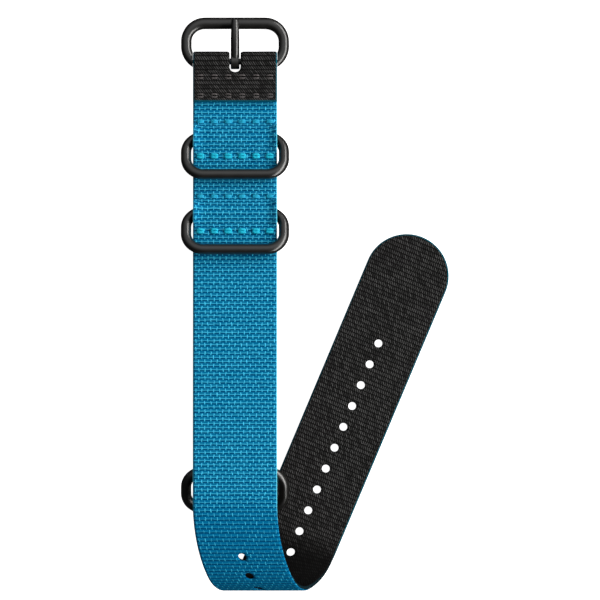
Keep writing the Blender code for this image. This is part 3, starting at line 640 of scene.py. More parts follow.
def keeper_points():
    """Two pockets, a free run that is one cubic curve, and the loop round the end ring's bar."""
    along = steps_between(KEEPER_START, BARS[1] + POCKET_BELOW + SEAM_RELIEF)
    dip = WIRE_TO_MIDDLE + BAR_DEPTH - LAYER_PITCH
    filled = sum(pocket_shape(along, bar, POCKET_CROWN) for bar in BARS)
    sewn = on_front(along, -HALF_LAYERS - LAYER_PITCH - dip * filled)
    loop = END_BAR + eye_points(LOOP_SEAMS[0], WIRE_TO_MIDDLE)[::-1]
    ahead = -steps_between(-(LOOP_TAB_LENGTH + LOOP_LEAD), -LOOP_SEAMS[0])
    behind = steps_between(LOOP_SEAMS[0] + PATH_STEP, LOOP_TAB_LENGTH)
    lead, tab = (
        np.stack(np.broadcast_arrays(END_BAR[0] + level, END_BAR[1] + height), axis=1)
        for level, height in ((ahead, -HALF_LAYERS), (behind, HALF_LAYERS)))
    start, end = sewn[-1], lead[0]
    span = abs(end[0] - start[0])
    t = np.arange(PATH_STEP, span - PATH_STEP / 2, PATH_STEP)[:, None] / span
    leaving = np.array([-1.0, math.tan(FRONT_SLOPE)]) * span
    arriving = np.array([-1.0, 0.0]) * span
    free = (
        (2 * t**3 - 3 * t**2 + 1) * start + (t**3 - 2 * t**2 + t) * leaving
        + (3 * t**2 - 2 * t**3) * end + (t**3 - t**2) * arriving)
    return np.concatenate([sewn, free, lead, loop, tab])


print("front runs", round(FRONT_LENGTH / MM, 1), "mm down from the pin")

# %% [markdown]
# ## Laying the cloth
# A point of the flat strip is given as (across, along, thickness). It is first drifted sideways and
# skewed in its own plane, which turns the tail away from the front, and that plane is then rolled
# along the path. Bending it this way keeps the cloth's length, as real webbing does.

# %% Lay a flat point along the path
HOLE_RADIUS = 1.03 * MM
HOLE_PITCH = 5.92 * MM
HOLES_ON_TAIL = 11
HOLES_BEFORE_TAIL = 5
HOLE_TO_TIP = 30.1 * MM
TIP_RUN = (HOLES_ON_TAIL - 1) * HOLE_PITCH + HOLE_TO_TIP


def straight(arc):
    """No drift and no skew."""
    return np.zeros(len(arc))


class Lay:
    """Where a flat strip goes once it is laid along its path."""

    def __init__(self, points, flare, drift=straight, skew=straight):
        step = np.diff(points, axis=0)
        self.points = points
        self.arc = np.concatenate([[0], np.cumsum(np.hypot(*step.T))])
        heading = np.gradient(points, self.arc, axis=0)
        heading /= np.hypot(*heading.T)[:, None]
        self.face = np.stack([heading[:, 1], -heading[:, 0]], axis=1)
        ratio = drift(self.arc)
        middle = (ratio[1:] + ratio[:-1]) / 2
        length = np.diff(self.arc)
        self.side = np.concatenate([[0], np.cumsum(middle * length)])
        self.run = np.concatenate([[0], np.cumsum(np.sqrt(1 + middle**2) * length)])
        self.skew = skew(self.arc)
        self.flare = flare(self)

    def at(self, arc, values):
        return np.interp(arc, self.arc, values)

    def arc_near(self, y, z):
        away = np.hypot(self.points[:, 0] - y, self.points[:, 1] - z)
        return float(self.arc[np.argmin(away)])

    def along_near(self, y, z):
        """Length down the cloth to the point of its path that is nearest to (y, z)."""
        return float(self.at(self.arc_near(y, z), self.run))

    def place(self, across, along, thickness):
        """Roll: x from the drift and the turned weft, (y, z) from the path plus its face's offset."""
        arc = np.interp(along, self.run, self.arc)
        skew = self.at(arc, self.skew)
        x = self.at(arc, self.side) + across * np.cos(skew)
        arc = arc - across * np.sin(skew)
        mouth = np.clip((np.abs(across) - STRAP_WIDTH / 2 + MOUTH_DEPTH) / MOUTH_DEPTH, 0, None)
        off = thickness + self.at(arc, self.flare) * mouth**2
        y, z = (
            self.at(arc, line) + off * self.at(arc, face)
            for line, face in zip(self.points.T, self.face.T))
        return np.stack([x, y, z], axis=-1) + PIN_FRAME


def main_lay():
    """The main strap's lay, with the arc length at its first tail hole."""
    front = main_front_points()
    front_arc = np.sum(np.hypot(*np.diff(front, axis=0).T))
    bend, nose_at = bend_points(front[-1], TIP_RUN + TAIL_START + STRAP_WIDTH)
    nose = front_arc + nose_at
    first_hole = nose + TAIL_START

    def drift(arc):
        known = (front_arc, nose, nose + HEEL_LENGTH, first_hole)
        return np.interp(arc, known, (0, NOSE_DRIFT_SHARE, HEEL_DRIFT_SHARE, math.tan(TAIL_ANGLE)))

    def skew(arc):
        t = (arc - nose + SKEW_LEAD) / (TAIL_START + SKEW_TRAIL + SKEW_LEAD)
        return TAIL_ANGLE * (1 - raised(np.clip(t, 0, 1), 0, 1))

    def flare(lay):
        over_bars = [lay.arc_near(*on_front(bar, FRONT_BULGE - HALF_LAYERS)) for bar in BARS]
        return MOUTH_FLARE * sum(pocket_shape(lay.arc, here, MOUTH_CROWN) for here in over_bars)

    return Lay(np.concatenate([front, bend]), flare, drift, skew), first_hole


def loop_flare(lay):
    """The mouth of the end ring's loop."""
    nose = lay.arc_near(END_BAR[0] - WIRE_TO_MIDDLE, END_BAR[1])
    half_wrap = WIRE_TO_MIDDLE * math.pi / 2
    return -MOUTH_FLARE * raised(lay.arc - nose, half_wrap, half_wrap + LOOP_SEAMS[0] - SEAM_RELIEF)


MAIN, first_tail_hole = main_lay()
KEEPER = Lay(keeper_points(), loop_flare)
FIRST_ALONG = float(MAIN.at(first_tail_hole, MAIN.run))
MAIN_LENGTH = FIRST_ALONG + TIP_RUN
KEEPER_LENGTH = float(KEEPER.run[-1])
print("cut lengths in mm", round(MAIN_LENGTH / MM, 2), round(KEEPER_LENGTH / MM, 2))

# %% [markdown]
# ## Cloth with real ribs
# The ribs could be bump alone, but a bump has no outline and vanishes at a grazing view. So the two
# faces of the strip are a fine grid, three rows to a rib and four columns to a tie. The grid's cells
# outside the outline are dropped, the rim's points slide onto it along the slope of the distance
# to it, and the faces are drawn together at the rim, as a woven edge is.

# %% Outline, ribs and the laid cloth
ROWS_PER_RIB = 3
COLUMNS_PER_TIE = 4
LEAST_LAST_ROW = ROW_PITCH / 8
RIB_DEPTH = 0.09 * MM
TIE_RISE = 0.15
BACK_RIB_DEPTH = 0.07 * MM
EDGE_ROUND = 0.45 * MM
EDGE_SHARE = 0.5
SEAM_DIMPLE = 0.08 * MM
DIMPLE_REACH = 0.9 * MM
SLOPE_STEP = 0.001 * MM
SLOT_HALF = 1.44 * MM
SLOT_ABOVE = 3.05 * MM
SLOT_UNDER = 2.8 * MM


def front_along(lay, down, above):
    return lay.along_near(*on_front(down, above))


SLOT_START = front_along(MAIN, SLOT_ABOVE, eye_height(SLOT_ABOVE, TAB_SEAMS[0]))
SLOT_END = front_along(MAIN, SLOT_UNDER, -eye_height(SLOT_UNDER, TAB_SEAMS[0]))


def strip_distance(across, along, length, round_end):
    """Distance inside the strip's outline, negative outside: the least of its sides and ends."""
    half = STRAP_WIDTH / 2
    sides = np.minimum(half - np.abs(across), along)
    if not round_end:
        return np.minimum(sides, length - along)
    tip = half - np.hypot(across, along - (length - half))
    return np.where(along > length - half, tip, sides)


def main_distance(across, along):
    """The strip with its round tip, less each punched hole and the tongue's slot."""
    inside = strip_distance(across, along, MAIN_LENGTH, True)
    for number in range(-HOLES_BEFORE_TAIL, HOLES_ON_TAIL):
        hole = np.hypot(across, along - FIRST_ALONG - number * HOLE_PITCH) - HOLE_RADIUS
        inside = np.minimum(inside, hole)
    nearest = np.clip(along, SLOT_START + SLOT_HALF, SLOT_END - SLOT_HALF)
    return np.minimum(inside, np.hypot(across, along - nearest) - SLOT_HALF)


def keeper_distance(across, along):
    return strip_distance(across, along, KEEPER_LENGTH, False)


def rib_heights(across, along, seams):
    """How far each face lies under the cloth's full thickness: crests and ties stand, valleys sink."""
    row = along / ROW_PITCH
    crest = (1 + np.cos(2 * math.pi * row)) / 2
    tie_place = across / TIE_PITCH + (np.floor(row + 0.5) % 2) / 2
    tie = (1 + np.cos(2 * math.pi * tie_place)) / 2
    nearest_seam = np.min([np.abs(along - seam) for seam in seams], axis=0)
    dimple = SEAM_DIMPLE * np.exp(-(nearest_seam / DIMPLE_REACH)**2)
    front = RIB_DEPTH * (1 - crest * (1 - TIE_RISE + TIE_RISE * tie)) + dimple
    return front, BACK_RIB_DEPTH * (1 - crest) + dimple


def cloth(name, lay, distance, length, round_end, seams):
    """Two faces of kept cells, joined round the rim, then laid along the path."""
    u = np.linspace(-STRAP_WIDTH / 2, STRAP_WIDTH / 2, TIES_ACROSS * COLUMNS_PER_TIE + 1)
    v = np.append(np.arange(0, length - LEAST_LAST_ROW, ROW_PITCH / ROWS_PER_RIB), length)
    across, along = np.meshgrid(u, v)
    kept = distance(*np.meshgrid((u[1:] + u[:-1]) / 2, (v[1:] + v[:-1]) / 2)) > 0
    rows, columns = kept.shape

    around = np.zeros(across.shape, dtype=int)
    for i, j in ((0, 0), (0, 1), (1, 0), (1, 1)):
        around[i:i + rows, j:j + columns] += kept
    rim = (around > 0) & (around < 4)
    away = distance(across, along)
    slope_u, slope_v = (
        (distance(across + du, along + dv) - distance(across - du, along - dv)) / SLOPE_STEP / 2
        for du, dv in ((SLOPE_STEP, 0), (0, SLOPE_STEP)))
    across = np.where(rim, across - away * slope_u, across)
    along = np.clip(np.where(rim, along - away * slope_v, along), 0, length)

    soften = np.clip(np.clip(distance(across, along), 0, None) / EDGE_ROUND, 0, 1)
    round_share = np.sqrt(np.clip(1 - (1 - soften)**2, 0, 1))
    half = STRAP_THICKNESS / 2 * (EDGE_SHARE + (1 - EDGE_SHARE) * round_share)
    front_sink, back_sink = rib_heights(across, along, seams)
    front = lay.place(across, along, half - front_sink * soften)
    back = lay.place(across, along, -half + back_sink * soften)

    number = np.arange(across.size).reshape(across.shape)
    a, b, c, d = number[:-1, :-1], number[1:, :-1], number[1:, 1:], number[:-1, 1:]
    top = np.stack([q[kept] for q in (a, b, c, d)], axis=1)
    beyond = np.pad(kept, 1)
    rims = []
    for start, end, i, j in ((a, b, 1, 0), (b, c, 2, 1), (c, d, 1, 2), (d, a, 0, 1)):
        edge = kept & ~beyond[i:i + rows, j:j + columns]
        rims.append(np.stack([end[edge], start[edge]], axis=1))
    rims = np.concatenate(rims)
    walls = np.concatenate([rims, rims[:, ::-1] + across.size], axis=1)
    from_side = np.clip(strip_distance(across, along, length, round_end), 0, None)

    blocks = [top, top[:, ::-1] + across.size, walls]
    used, compact = np.unique(np.concatenate([block.ravel() for block in blocks]), return_inverse=True)
    sizes = np.cumsum([block.size for block in blocks])[:-1]
    blocks = [part.reshape(-1, 4) for part in np.split(compact.ravel(), sizes)]
    points = np.concatenate([front.reshape(-1, 3), back.reshape(-1, 3)])[used]
    flat = np.tile(np.stack([across.ravel(), along.ravel()], axis=1) / MM, (2, 1))[used]
    mesh = skin(name, points, blocks, marks=(0, 1, 1))
    add_map(mesh, CLOTH_MAP, flat)
    edge_value = mesh.attributes.new(EDGE_VALUE, "FLOAT", "POINT")
    edge_value.data.foreach_set("value", np.tile(from_side.ravel() / MM, 2)[used].astype(np.float32))
    print(name, len(points), "points,", sum(2 * len(block) for block in blocks), "triangles")
    return mesh


main_seams = [front_along(MAIN, seam, side * HALF_LAYERS) for seam in TAB_SEAMS for side in (1, -1)]
main_seams += [front_along(MAIN, seam, -HALF_LAYERS) for seam in POCKET_SEAMS]
keeper_seams = [front_along(KEEPER, seam, -HALF_LAYERS - LAYER_PITCH) for seam in POCKET_SEAMS]
keeper_seams += [
    KEEPER.along_near(END_BAR[0] + seam, END_BAR[1] + side * HALF_LAYERS)
    for seam in LOOP_SEAMS for side in (-1, 1)]

main_mesh = cloth("main_webbing_cloth", MAIN, main_distance, MAIN_LENGTH, True, main_seams)
main_cloth = finished(main_mesh, "strap", "main_webbing", "main_strap", BLUE_FACE, BLACK_FACE)
keeper_mesh = cloth("keeper_webbing_cloth", KEEPER, keeper_distance, KEEPER_LENGTH, False, keeper_seams)
keeper_cloth = finished(keeper_mesh, "strap", "keeper_webbing", "keeper_strap", BLUE_FACE, BLACK_FACE)

# %% [markdown]
# ## Stitches
# Each seam is a running stitch: the thread shows as a dash on top, dives through a needle hole and
# runs on underneath. A real dash is two strands that part in its middle and meet at its needle
# holes. So each strand is a round section carried along the seam's path, with a sideways step that
# follows half an ellipse over each dash. The path's corners are cut off three times over, which
# turns straight lengths into a smooth curve.

# %% Sew the seams
STITCH_PITCH = 3.63 * MM
STITCH_LEGS = 1.6 * MM
SEAM_MARGIN = 1.125 * MM
SEAM_RUN = STRAP_WIDTH - 2 * SEAM_MARGIN - STITCH_LEGS
DASH_GAPS = round(SEAM_RUN / STITCH_PITCH)
DASH_PITCH = SEAM_RUN / DASH_GAPS
BLACK_PLY = (0.17 * MM, 0.40 * MM)
BLUE_PLY = (0.36 * MM, 0.39 * MM)
DEEP_PLY = (0.27 * MM, 0.25 * MM)
PINCHED_SHARE = 0.6
PROUD_SHARE = 0.8
THREAD_BEND = 0.30 * MM
THREAD_TAIL = 0.45 * MM
THREAD_TIP_SHARE = 0.1
PLY_SIDES = 10
CORNER_CUTS = 3
CUT_SHARE = 0.25
SQUARE = np.array([0, math.sin(FRONT_SLOPE), math.cos(FRONT_SLOPE)])
UPRIGHT = np.array([0, 0, 1])


def smoothed(points):
    """Cut each corner at a quarter and three quarters of its sides, keeping both ends."""
    for _ in range(CORNER_CUTS):
        near = (1 - CUT_SHARE) * points[:-1] + CUT_SHARE * points[1:]
        far = CUT_SHARE * points[:-1] + (1 - CUT_SHARE) * points[1:]
        inner = np.stack([near, far], axis=1).reshape(-1, 2)
        points = np.concatenate([points[:1], inner, points[-1:]])
    return points


def thread_path(top, bottom):
    """One thread weaving through a seam, as (across, above): four corners to each needle hole."""
    middles = np.linspace(-SEAM_RUN / 2, SEAM_RUN / 2, DASH_GAPS + 1)
    legs = np.stack([middles - STITCH_LEGS / 2, middles + STITCH_LEGS / 2], axis=1).ravel()
    first = np.where(np.arange(len(legs)) % 2 == 0, bottom, top)
    last = top + bottom - first
    step = np.sign(last - first) * THREAD_BEND
    x = np.stack([legs - THREAD_BEND, legs, legs, legs + THREAD_BEND], axis=1).ravel()
    z = np.stack([first, first + step, last - step, last], axis=1).ravel()
    ends = THREAD_BEND + THREAD_TAIL
    x = np.concatenate([[legs[0] - ends], x, [legs[-1] + ends]])
    z = np.concatenate([[bottom], z, [bottom]])
    return smoothed(np.stack([x, z], axis=1))


def parting(x):
    """How far the strands part: half an ellipse over each dash, on top and underneath."""
    half_pitch, half_legs = DASH_PITCH / 2, STITCH_LEGS / 2
    from_dash = np.abs((x + SEAM_RUN / 2 + half_pitch) % DASH_PITCH - half_pitch)
    above = np.clip(1 - (from_dash / half_legs)**2, 0, 1)
    below = np.clip(1 - ((half_pitch - from_dash) / (half_pitch - half_legs))**2, 0, 1)
    return PINCHED_SHARE + (1 - PINCHED_SHARE) * np.sqrt(np.maximum(above, below))


def ply(path, base, up, side, ply_size):
    """A round section carried along the path: middle + radius * (cos * up-normal + sin * sideways)."""
    ply_radius, offset = ply_size
    sideways = np.cross(ACROSS, up)
    middle = np.outer(path[:, 0], ACROSS) + np.outer(path[:, 1], up) + in_model(base)
    middle += side * offset * np.outer(parting(path[:, 0]), sideways)
    run = np.gradient(middle, axis=0)
    run /= np.linalg.norm(run, axis=1)[:, None]
    normal = np.cross(sideways, run)
    arc = np.concatenate([[0], np.cumsum(np.linalg.norm(np.diff(middle, axis=0), axis=1))])
    near_end = np.clip(np.minimum(arc, arc[-1] - arc) / ply_radius, THREAD_TIP_SHARE, 1)
    radius = ply_radius * np.sqrt(1 - (1 - near_end)**2)
    turn = full_turn(PLY_SIDES)
    section = np.cos(turn)[:, None] * normal[:, None] + np.sin(turn)[:, None] * sideways
    grid = middle[:, None] + radius[:, None, None] * section
    values = np.broadcast_arrays(arc[:, None] / MM, np.minimum(turn, 2 * math.pi - turn) / math.pi)
    values = np.stack(values, axis=-1).reshape(-1, 2)
    values = np.concatenate([values, [[0, 0], [arc[-1] / MM, 0]]])
    return grid, middle[[0, -1]], values


def sew(node, base, up, top, bottom, slot, finish, ply_size):
    """Both strands of a seam as one piece."""
    proud = STRAP_THICKNESS / 2 - SEAM_DIMPLE + ply_size[0] * PROUD_SHARE
    path = thread_path(top + proud, bottom - proud)
    points, blocks, values, done = [], [], [], 0
    for side in (-1, 1):
        grid, poles, strand_values = ply(path, base, up, side, ply_size)
        strand_points, strand_blocks = capped(grid, poles)
        points.append(strand_points)
        blocks += [block + done for block in strand_blocks]
        values.append(strand_values)
        done += len(strand_points)
    mesh = skin(node + "_stitches", np.concatenate(points), blocks)
    add_map(mesh, THREAD_MAP, np.concatenate(values))
    finished(mesh, "strap", slot, node, finish)


BLACK_SEWING = (HALF_LAYERS, -HALF_LAYERS, "black_thread", BLACK_THREAD, BLACK_PLY)
for number, seam in enumerate(TAB_SEAMS, 1):
    sew(f"tab_seam_{number}", on_front(seam, 0), SQUARE, *BLACK_SEWING)
for number, seam in enumerate(POCKET_SEAMS, 1):
    thread, thread_ply = (DEEP_THREAD, DEEP_PLY) if number % 2 else (BRIGHT_THREAD, BLUE_PLY)
    sew(f"pocket_seam_{number}", on_front(seam, -HALF_LAYERS), SQUARE, 0, -LAYER_PITCH,
        "blue_thread", thread, thread_ply)
for number, seam in enumerate(LOOP_SEAMS, 1):
    sew(f"loop_seam_{number}", END_BAR + [seam, 0], UPRIGHT, *BLACK_SEWING)
print("eight seams sewn")

# %% [markdown]
# ## Keeper rings
# A keeper ring is a length of round wire bent to a long oval and welded shut. The middle line of the
# wire is four quarter arcs joined by straight sides, and a circle is carried round it: each point is
# the middle line, plus the radius times cos outwards in the ring's plane and sin across the plane.

# %% Bend the rings
WIRE_SIDES = 40
ARC_STEPS = 20


def ring_line():
    """The oval's middle line and outward directions in its plane, with the lower bar at height 0."""
    radius = RING_CORNER - RING_WIRE / 2
    right, low, high = RING_WIDTH / 2 - RING_CORNER, radius, RING_HEIGHT - RING_WIRE - radius
    turns = np.linspace(-math.pi / 2, 0, ARC_STEPS + 1) + np.arange(4)[:, None] * math.pi / 2
    out = np.stack([np.cos(turns), np.sin(turns)], axis=-1)
    centres = np.array([[right, low], [right, high], [-right, high], [-right, low]])
    return (centres[:, None] + radius * out).reshape(-1, 2), out.reshape(-1, 2)


def ring_mesh(name, bar, swing):
    """The oval with its lower bar on the captured bar, swung up from -Y by the angle."""
    plane = np.array([ACROSS, [0, -math.cos(swing), math.sin(swing)]])
    line, out = (part @ plane for part in ring_line())
    turn = full_turn(WIRE_SIDES)[:, None]
    section = np.cos(turn) * out[:, None] + np.sin(turn) * np.cross(*plane)
    return skin(name, *looped((line + bar)[:, None] + RING_WIRE / 2 * section))


keeper_lift = STRAP_THICKNESS / 2 + FREE_BAR_LIFT + RING_WIRE / 2 + BAR_DEPTH
keeper_swing = FRONT_SLOPE + math.asin(keeper_lift / RING_REACH)
upper_bar, lower_bar = (on_front(bar, -HALF_LAYERS - BAR_DEPTH) for bar in BARS)
RINGS = (
    ("keeper_ring_upper", "upper_ring", upper_bar, keeper_swing),
    ("keeper_ring_lower", "lower_ring", lower_bar, keeper_swing),
    ("end_ring", "last_ring", END_BAR, -END_RING_DROP))
for node, body, bar, swing in RINGS:
    mesh = ring_mesh(node + "_wire", in_model(bar), swing)
    finished(mesh, body, "dark_hardware", node, COAT)
    print(node, "bar at", np.round(in_model(bar) / MM, 2), "mm")

# %% [markdown]
# ## Buckle bow
# The bow is the same kind of oval, a little thicker where the tongue rests, and open below: its two
# ends are sawn flat beside the strap and drilled for the pin. On each end arc the turn at which the
# wire meets the saw cut depends on the side of the wire, so every point of the last row lands on the
# cut. The rows then run on over the flat end, into the drilled hole and to its floor.

# %% Bend and drill the bow
BOW_WIRE = 2.76 * MM
BOW_WIDTH = 28.25 * MM
BOW_HEIGHT = 14.0 * MM
BOW_CORNER = 6.3 * MM
BOW_FOOT_TO_PIN = 2.35 * MM
TOP_BAR_WIRE = 3.06 * MM
CHEEK_GAP = 0.06 * MM
CHEEK = STRAP_WIDTH / 2 + CHEEK_GAP
PIN_TIP_RADIUS = 0.45 * MM
PIN_TIP_LENGTH = 0.9 * MM
PIN_CLEARANCE = 0.2 * MM
BAR_STEPS = 6
SHARP_EDGE = math.radians(40)
TOP_BAR = BOW_HEIGHT - BOW_FOOT_TO_PIN - TOP_BAR_WIRE / 2
TILT = math.asin((PIN_HEIGHT - TOP_BAR_WIRE / 2) / TOP_BAR)
BUCKLE_REACH = np.array([0, math.cos(TILT), -math.sin(TILT)])
BUCKLE_UP = np.array([0, math.sin(TILT), math.cos(TILT)])


def on_buckle(x, reach, up):
    """Points given across the buckle, from its pin towards its top bar, and square to the bow."""
    x, reach, up = (part[..., None] for part in np.broadcast_arrays(x, reach, up))
    return x * ACROSS + reach * BUCKLE_REACH + up * BUCKLE_UP + PIN_AXIS


def spread(*parts):
    """Parts of a grid brought to one shape."""
    return np.stack(np.broadcast_arrays(*parts))


def lathe(x, radius, sides, reach=0):
    """A profile (x, radius) carried round: reach + radius * cos, radius * sin."""
    turn = full_turn(sides)
    x, radius = np.reshape(x, (-1, 1)), np.reshape(radius, (-1, 1))
    return spread(x, reach + radius * np.cos(turn), radius * np.sin(turn))


def half_bow():
    """Rows from the pin hole's floor, over the sawn end and up the arm, to the middle of the bar."""
    turn = full_turn(WIRE_SIDES)
    thin = BOW_WIRE / 2
    radius = BOW_CORNER - thin
    centre_x, low = BOW_WIDTH / 2 - BOW_CORNER, BOW_CORNER - BOW_FOOT_TO_PIN
    high = BOW_HEIGHT - BOW_FOOT_TO_PIN - BOW_CORNER

    out = radius + thin * np.cos(turn)
    foot = -np.linspace(1, 0, ARC_STEPS)[:, None] * np.arccos((CHEEK - centre_x) / out)
    foot_rows = spread(centre_x + out * np.cos(foot), low + out * np.sin(foot), thin * np.sin(turn))

    over = np.linspace(0, math.pi / 2, ARC_STEPS)[:, None]
    wire = thin + np.sin(over)**2 * (TOP_BAR_WIRE - BOW_WIRE) / 2
    out = radius + thin - wire + wire * np.cos(turn)
    head_rows = spread(centre_x + out * np.cos(over), high + out * np.sin(over), wire * np.sin(turn))

    bar_x = np.linspace(centre_x, 0, BAR_STEPS)[1:]
    bar_rows = lathe(bar_x, TOP_BAR_WIRE / 2, WIRE_SIDES, TOP_BAR)
    hole_x = (CHEEK + PIN_TIP_LENGTH, CHEEK)
    hole_rows = lathe(hole_x, PIN_TIP_RADIUS + PIN_CLEARANCE, WIRE_SIDES)
    return np.concatenate([hole_rows, foot_rows, head_rows, bar_rows], axis=1)


def bow_mesh():
    """The half bow and its mirror image, closed at the floors of both holes."""
    half = half_bow()
    mirror = half[:, -2::-1] * np.array([-1, 1, 1])[:, None, None]
    rows = np.concatenate([half, mirror], axis=1)
    floors = on_buckle(rows[0, [0, -1], 0], 0, 0)
    mesh = skin("buckle_bow_wire", *capped(on_buckle(*rows), floors))
    mesh.set_sharp_from_angle(angle=SHARP_EDGE)
    return mesh


finished(bow_mesh(), "buckle", "dark_hardware", "buckle_bow", COAT)
print("bow tipped", round(math.degrees(TILT), 1), "degrees down from level")

# %% [markdown]
# ## Pin and tongue
# The pin is a turned rod with thin tips: a profile of radii carried round the X axis. The tongue is
# a prong that tapers to a round point, on an eye that turns on the pin. The prong is a circle of
# changing radius on a rising curve, the eye a rounded band, and a union makes them one solid.

# %% Turn the pin and shape the tongue
PIN_RADIUS = 0.8 * MM
PIN_BEVEL = 0.12 * MM
PIN_SIDES = 32
TONGUE_WIDTH = 2.28 * MM
TONGUE_EYE_WALL = 1.0 * MM
BORE_RADIUS = PIN_RADIUS + PIN_CLEARANCE
EYE_RADIUS = BORE_RADIUS + TONGUE_EYE_WALL
TONGUE_OVERHANG = 0.9 * MM
TONGUE_TIP_SHARE = 0.84
TONGUE_RISE_SHARE = 0.8
TONGUE_SEAT_SHARE = 0.85
TAPER_START = 0.45
TONGUE_SIDES = 32
POINT_SHARE = 0.93
PRONG_STEPS, POINT_STEPS = 36, 10
EYE_BEVEL = 0.3 * MM
EYE_SIDES = 48
BEVEL_STEPS = 6
TONGUE_EDGE = math.radians(35)


def rod(name, x, radius, sides):
    """A profile turned on the pin's axis, with a point closing each end."""
    return skin(name, *capped(on_buckle(*lathe(x, radius, sides)), on_buckle(x[[0, -1]], 0, 0)))


def pin_mesh():
    """From each tip inwards: a bevel, the thin tip, the shoulder, a bevel, the full radius."""
    tip, shoulder = CHEEK + PIN_TIP_LENGTH - PIN_CLEARANCE, STRAP_WIDTH / 2
    x = np.array([tip, tip - PIN_BEVEL, shoulder, shoulder, shoulder - PIN_BEVEL])
    radius = [PIN_TIP_RADIUS - PIN_BEVEL, PIN_TIP_RADIUS, PIN_TIP_RADIUS]
    radius += [PIN_RADIUS - PIN_BEVEL, PIN_RADIUS]
    mesh = rod("buckle_pin_rod", np.concatenate([x, -x[::-1]]), radius + radius[::-1], PIN_SIDES)
    mesh.set_sharp_from_angle(angle=SHARP_EDGE)
    return mesh


def prong_mesh():
    """A circle on a sine rise. Its radius tapers evenly, then closes as a quarter ellipse."""
    half = TONGUE_WIDTH / 2
    over = TOP_BAR_WIRE / 2 + WIRE_CLEARANCE + half * TONGUE_SEAT_SHARE
    start, end = EYE_RADIUS / 2, TOP_BAR + TONGUE_OVERHANG
    point = np.cos(np.linspace(0, math.pi / 2, POINT_STEPS))[1:-1]
    t = np.concatenate([np.linspace(0, POINT_SHARE, PRONG_STEPS), 1 - (1 - POINT_SHARE) * point])
    reach = start + (end - start) * t
    rise = np.sin(np.clip(t / TONGUE_RISE_SHARE, 0, 1) * math.pi / 2)
    up = (EYE_RADIUS - half) + (over - EYE_RADIUS + half) * rise
    taper = np.interp(t, (TAPER_START, 1), (1, TONGUE_TIP_SHARE))
    closing = np.sqrt(1 - (np.clip(t - POINT_SHARE, 0, None) / (1 - POINT_SHARE))**2)
    radius = (half * taper * closing)[:, None]
    slope = np.arctan2(np.gradient(up), np.gradient(reach))[:, None]
    turn = full_turn(TONGUE_SIDES)
    out = radius * np.cos(turn)
    grid = on_buckle(
        radius * np.sin(turn), reach[:, None] - out * np.sin(slope), up[:, None] + out * np.cos(slope))
    return skin("tongue_prong", *capped(grid, on_buckle(0, [start, end], up[[0, -1]])))


def eye_mesh():
    """A rounded band round the pin: a rectangle with arcs for corners, carried round the axis."""
    corner = np.linspace(0, math.pi / 2, BEVEL_STEPS) + np.arange(4)[:, None] * math.pi / 2
    centre_x = (TONGUE_WIDTH / 2 - EYE_BEVEL) * np.array([1, -1, -1, 1])[:, None]
    middle, side = (BORE_RADIUS + EYE_RADIUS) / 2, (EYE_RADIUS - BORE_RADIUS) / 2 - EYE_BEVEL
    centre_r = middle + side * np.array([1, 1, -1, -1])[:, None]
    x = (centre_x + EYE_BEVEL * np.cos(corner)).ravel()
    radius = (centre_r + EYE_BEVEL * np.sin(corner)).ravel()
    turn = full_turn(EYE_SIDES)[:, None]
    return skin("tongue_eye", *looped(on_buckle(x, radius * np.cos(turn), radius * np.sin(turn))))


def combined(base, tool, operation):
    """The mesh that a Boolean of two meshes leaves."""
    first, second = placed("combined_base", base), placed("combined_tool", tool)
    cut = first.modifiers.new("combine", "BOOLEAN")
    cut.operation, cut.solver, cut.object = operation, "EXACT", second
    bpy.context.view_layer.update()
    result = bpy.data.meshes.new_from_object(first.evaluated_get(bpy.context.evaluated_depsgraph_get()))
    for thing in (first, second):
        bpy.data.objects.remove(thing, do_unlink=True)
    return result


pin_piece = finished(pin_mesh(), "buckle", "dark_hardware", "buckle_pin", COAT)
bore = rod("tongue_bore", np.array([-1, 1]) * TONGUE_WIDTH, BORE_RADIUS, EYE_SIDES)
prong = combined(prong_mesh(), bore, "DIFFERENCE")
tongue_mesh = combined(prong, eye_mesh(), "UNION")
tongue_mesh.name = "buckle_tongue_prong"
tongue_mesh.shade_smooth()
tongue_mesh.set_sharp_from_angle(angle=TONGUE_EDGE)
finished(tongue_mesh, "tongue", "dark_hardware", "buckle_tongue", COAT)
print("tongue has", len(tongue_mesh.polygons), "faces")

# %% [markdown]
# ## Cloth cut from flat webbing
# Both straps are cut from flat webbing: 22 mm wide, and as long as the path that each is laid along.

print("both straps are cut from flat webbing")

# %% [markdown]
# ## Light table, studio light and camera
# The strap lies on a white table that glows, so no shadow gathers beside it. The camera sees the
# table, but the strap gets neither light nor a reflection from it, which keeps the inside of the
# bend dark. The room is brightest at a place overhead that leans towards the buckle, and one long
# soft panel stands at the right: it gives each wire its broad highlight on that side. The camera
# looks straight down from far away, because a long lens keeps both ends of the strap at one scale.

# %% Table, light and camera
FRAME_WIDTH = 156.77 * MM
FRAME_CENTRE = (-3.893 * MM, 1.045 * MM)
CAMERA_HEIGHT = 6.0
FOCUS_HEIGHT = 8.0 * MM
SENSOR = 36.0
WHITE = (1.0, 1.0, 1.0, 1.0)
TABLE_WHITE = (0.9, 0.9, 0.9, 1.0)
TABLE_HALF = 1.5
TABLE_DROP = 0.2 * MM
TABLE_GLOW = 1.0
PANEL_ANGLE = math.radians(54)
PANEL_DISTANCE = 0.7
PANEL_SHIFT = 0.15
PANEL_SIZE = (0.26, 2.0)
PANEL_POWER = 12.6
PANEL_COLOUR = (1.0, 0.985, 0.96)
ROOM_LOW, ROOM_HIGH = 0.03, 0.72
ROOM_TILT = math.radians(36)


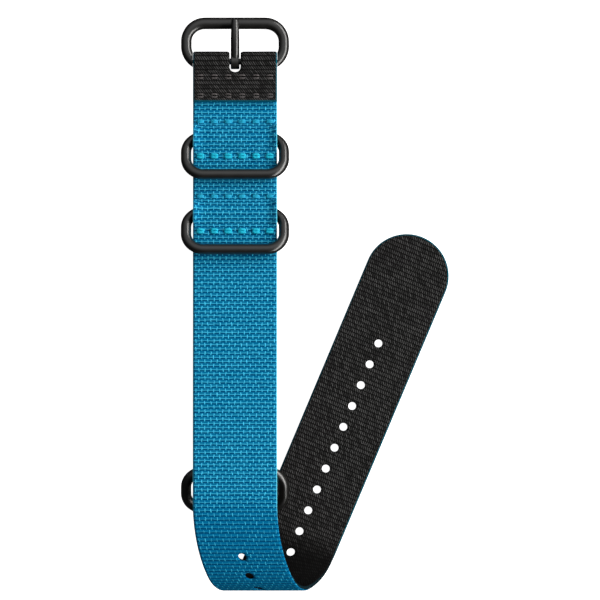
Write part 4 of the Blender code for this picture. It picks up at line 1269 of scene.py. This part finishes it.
def table():
    """A white square that glows, just under the strap."""
    square = np.array([[-1, -1, 0], [1, -1, 0], [1, 1, 0], [-1, 1, 0]]) * TABLE_HALF
    mesh = bpy.data.meshes.new("table")
    mesh.from_pydata((square - [0, 0, TABLE_DROP]).tolist(), [], [[0, 1, 2, 3]])
    material, shader = new_finish("table_white", TABLE_WHITE, roughness=0.9, specular=0.1)
    shader.inputs["Emission Color"].default_value = WHITE
    shader.inputs["Emission Strength"].default_value = TABLE_GLOW
    mesh.materials.append(material)
    top = placed("table", mesh)
    top.visible_diffuse = False
    top.visible_glossy = False


def room():
    """A white world whose strength grows with the cube of the cosine to a place overhead, tilted to +Y."""
    world = bpy.data.worlds.new("room")
    world.use_nodes = True
    background = world.node_tree.nodes["Background"]
    background.inputs["Color"].default_value = WHITE
    place = Dye(background.outputs[0]).make("ShaderNodeTexCoord", {}, {}, 0)
    overhead = (0.0, math.sin(ROOM_TILT), math.cos(ROOM_TILT))
    facing = place.make(
        "ShaderNodeVectorMath", {"operation": "DOT_PRODUCT"}, {0: place, 1: overhead}, 1).brighter(0.0)
    strength = ROOM_LOW + facing * facing * facing * (ROOM_HIGH - ROOM_LOW)
    world.node_tree.links.new(strength.socket, background.inputs["Strength"])
    bpy.context.scene.world = world


def panel():
    light = bpy.data.lights.new("right_panel", "AREA")
    light.shape = "RECTANGLE"
    light.size, light.size_y = PANEL_SIZE
    light.energy = PANEL_POWER
    light.color = PANEL_COLOUR
    lamp = placed("right_panel", light)
    lamp.location = (
        PANEL_DISTANCE * math.sin(PANEL_ANGLE), PANEL_SHIFT, PANEL_DISTANCE * math.cos(PANEL_ANGLE))
    lamp.rotation_euler = (0, PANEL_ANGLE, 0)


def camera():
    lens = bpy.data.cameras.new("camera")
    lens.sensor_width = SENSOR
    lens.lens = SENSOR * (CAMERA_HEIGHT - FOCUS_HEIGHT) / FRAME_WIDTH
    viewer = placed("camera", lens)
    viewer.location = (*FRAME_CENTRE, CAMERA_HEIGHT)
    bpy.context.scene.camera = viewer
    print("lens", round(lens.lens), "mm")


table()
room()
panel()
camera()
bpy.context.scene.view_settings.view_transform = "Standard"

# %% Finish
print("the scene is set")
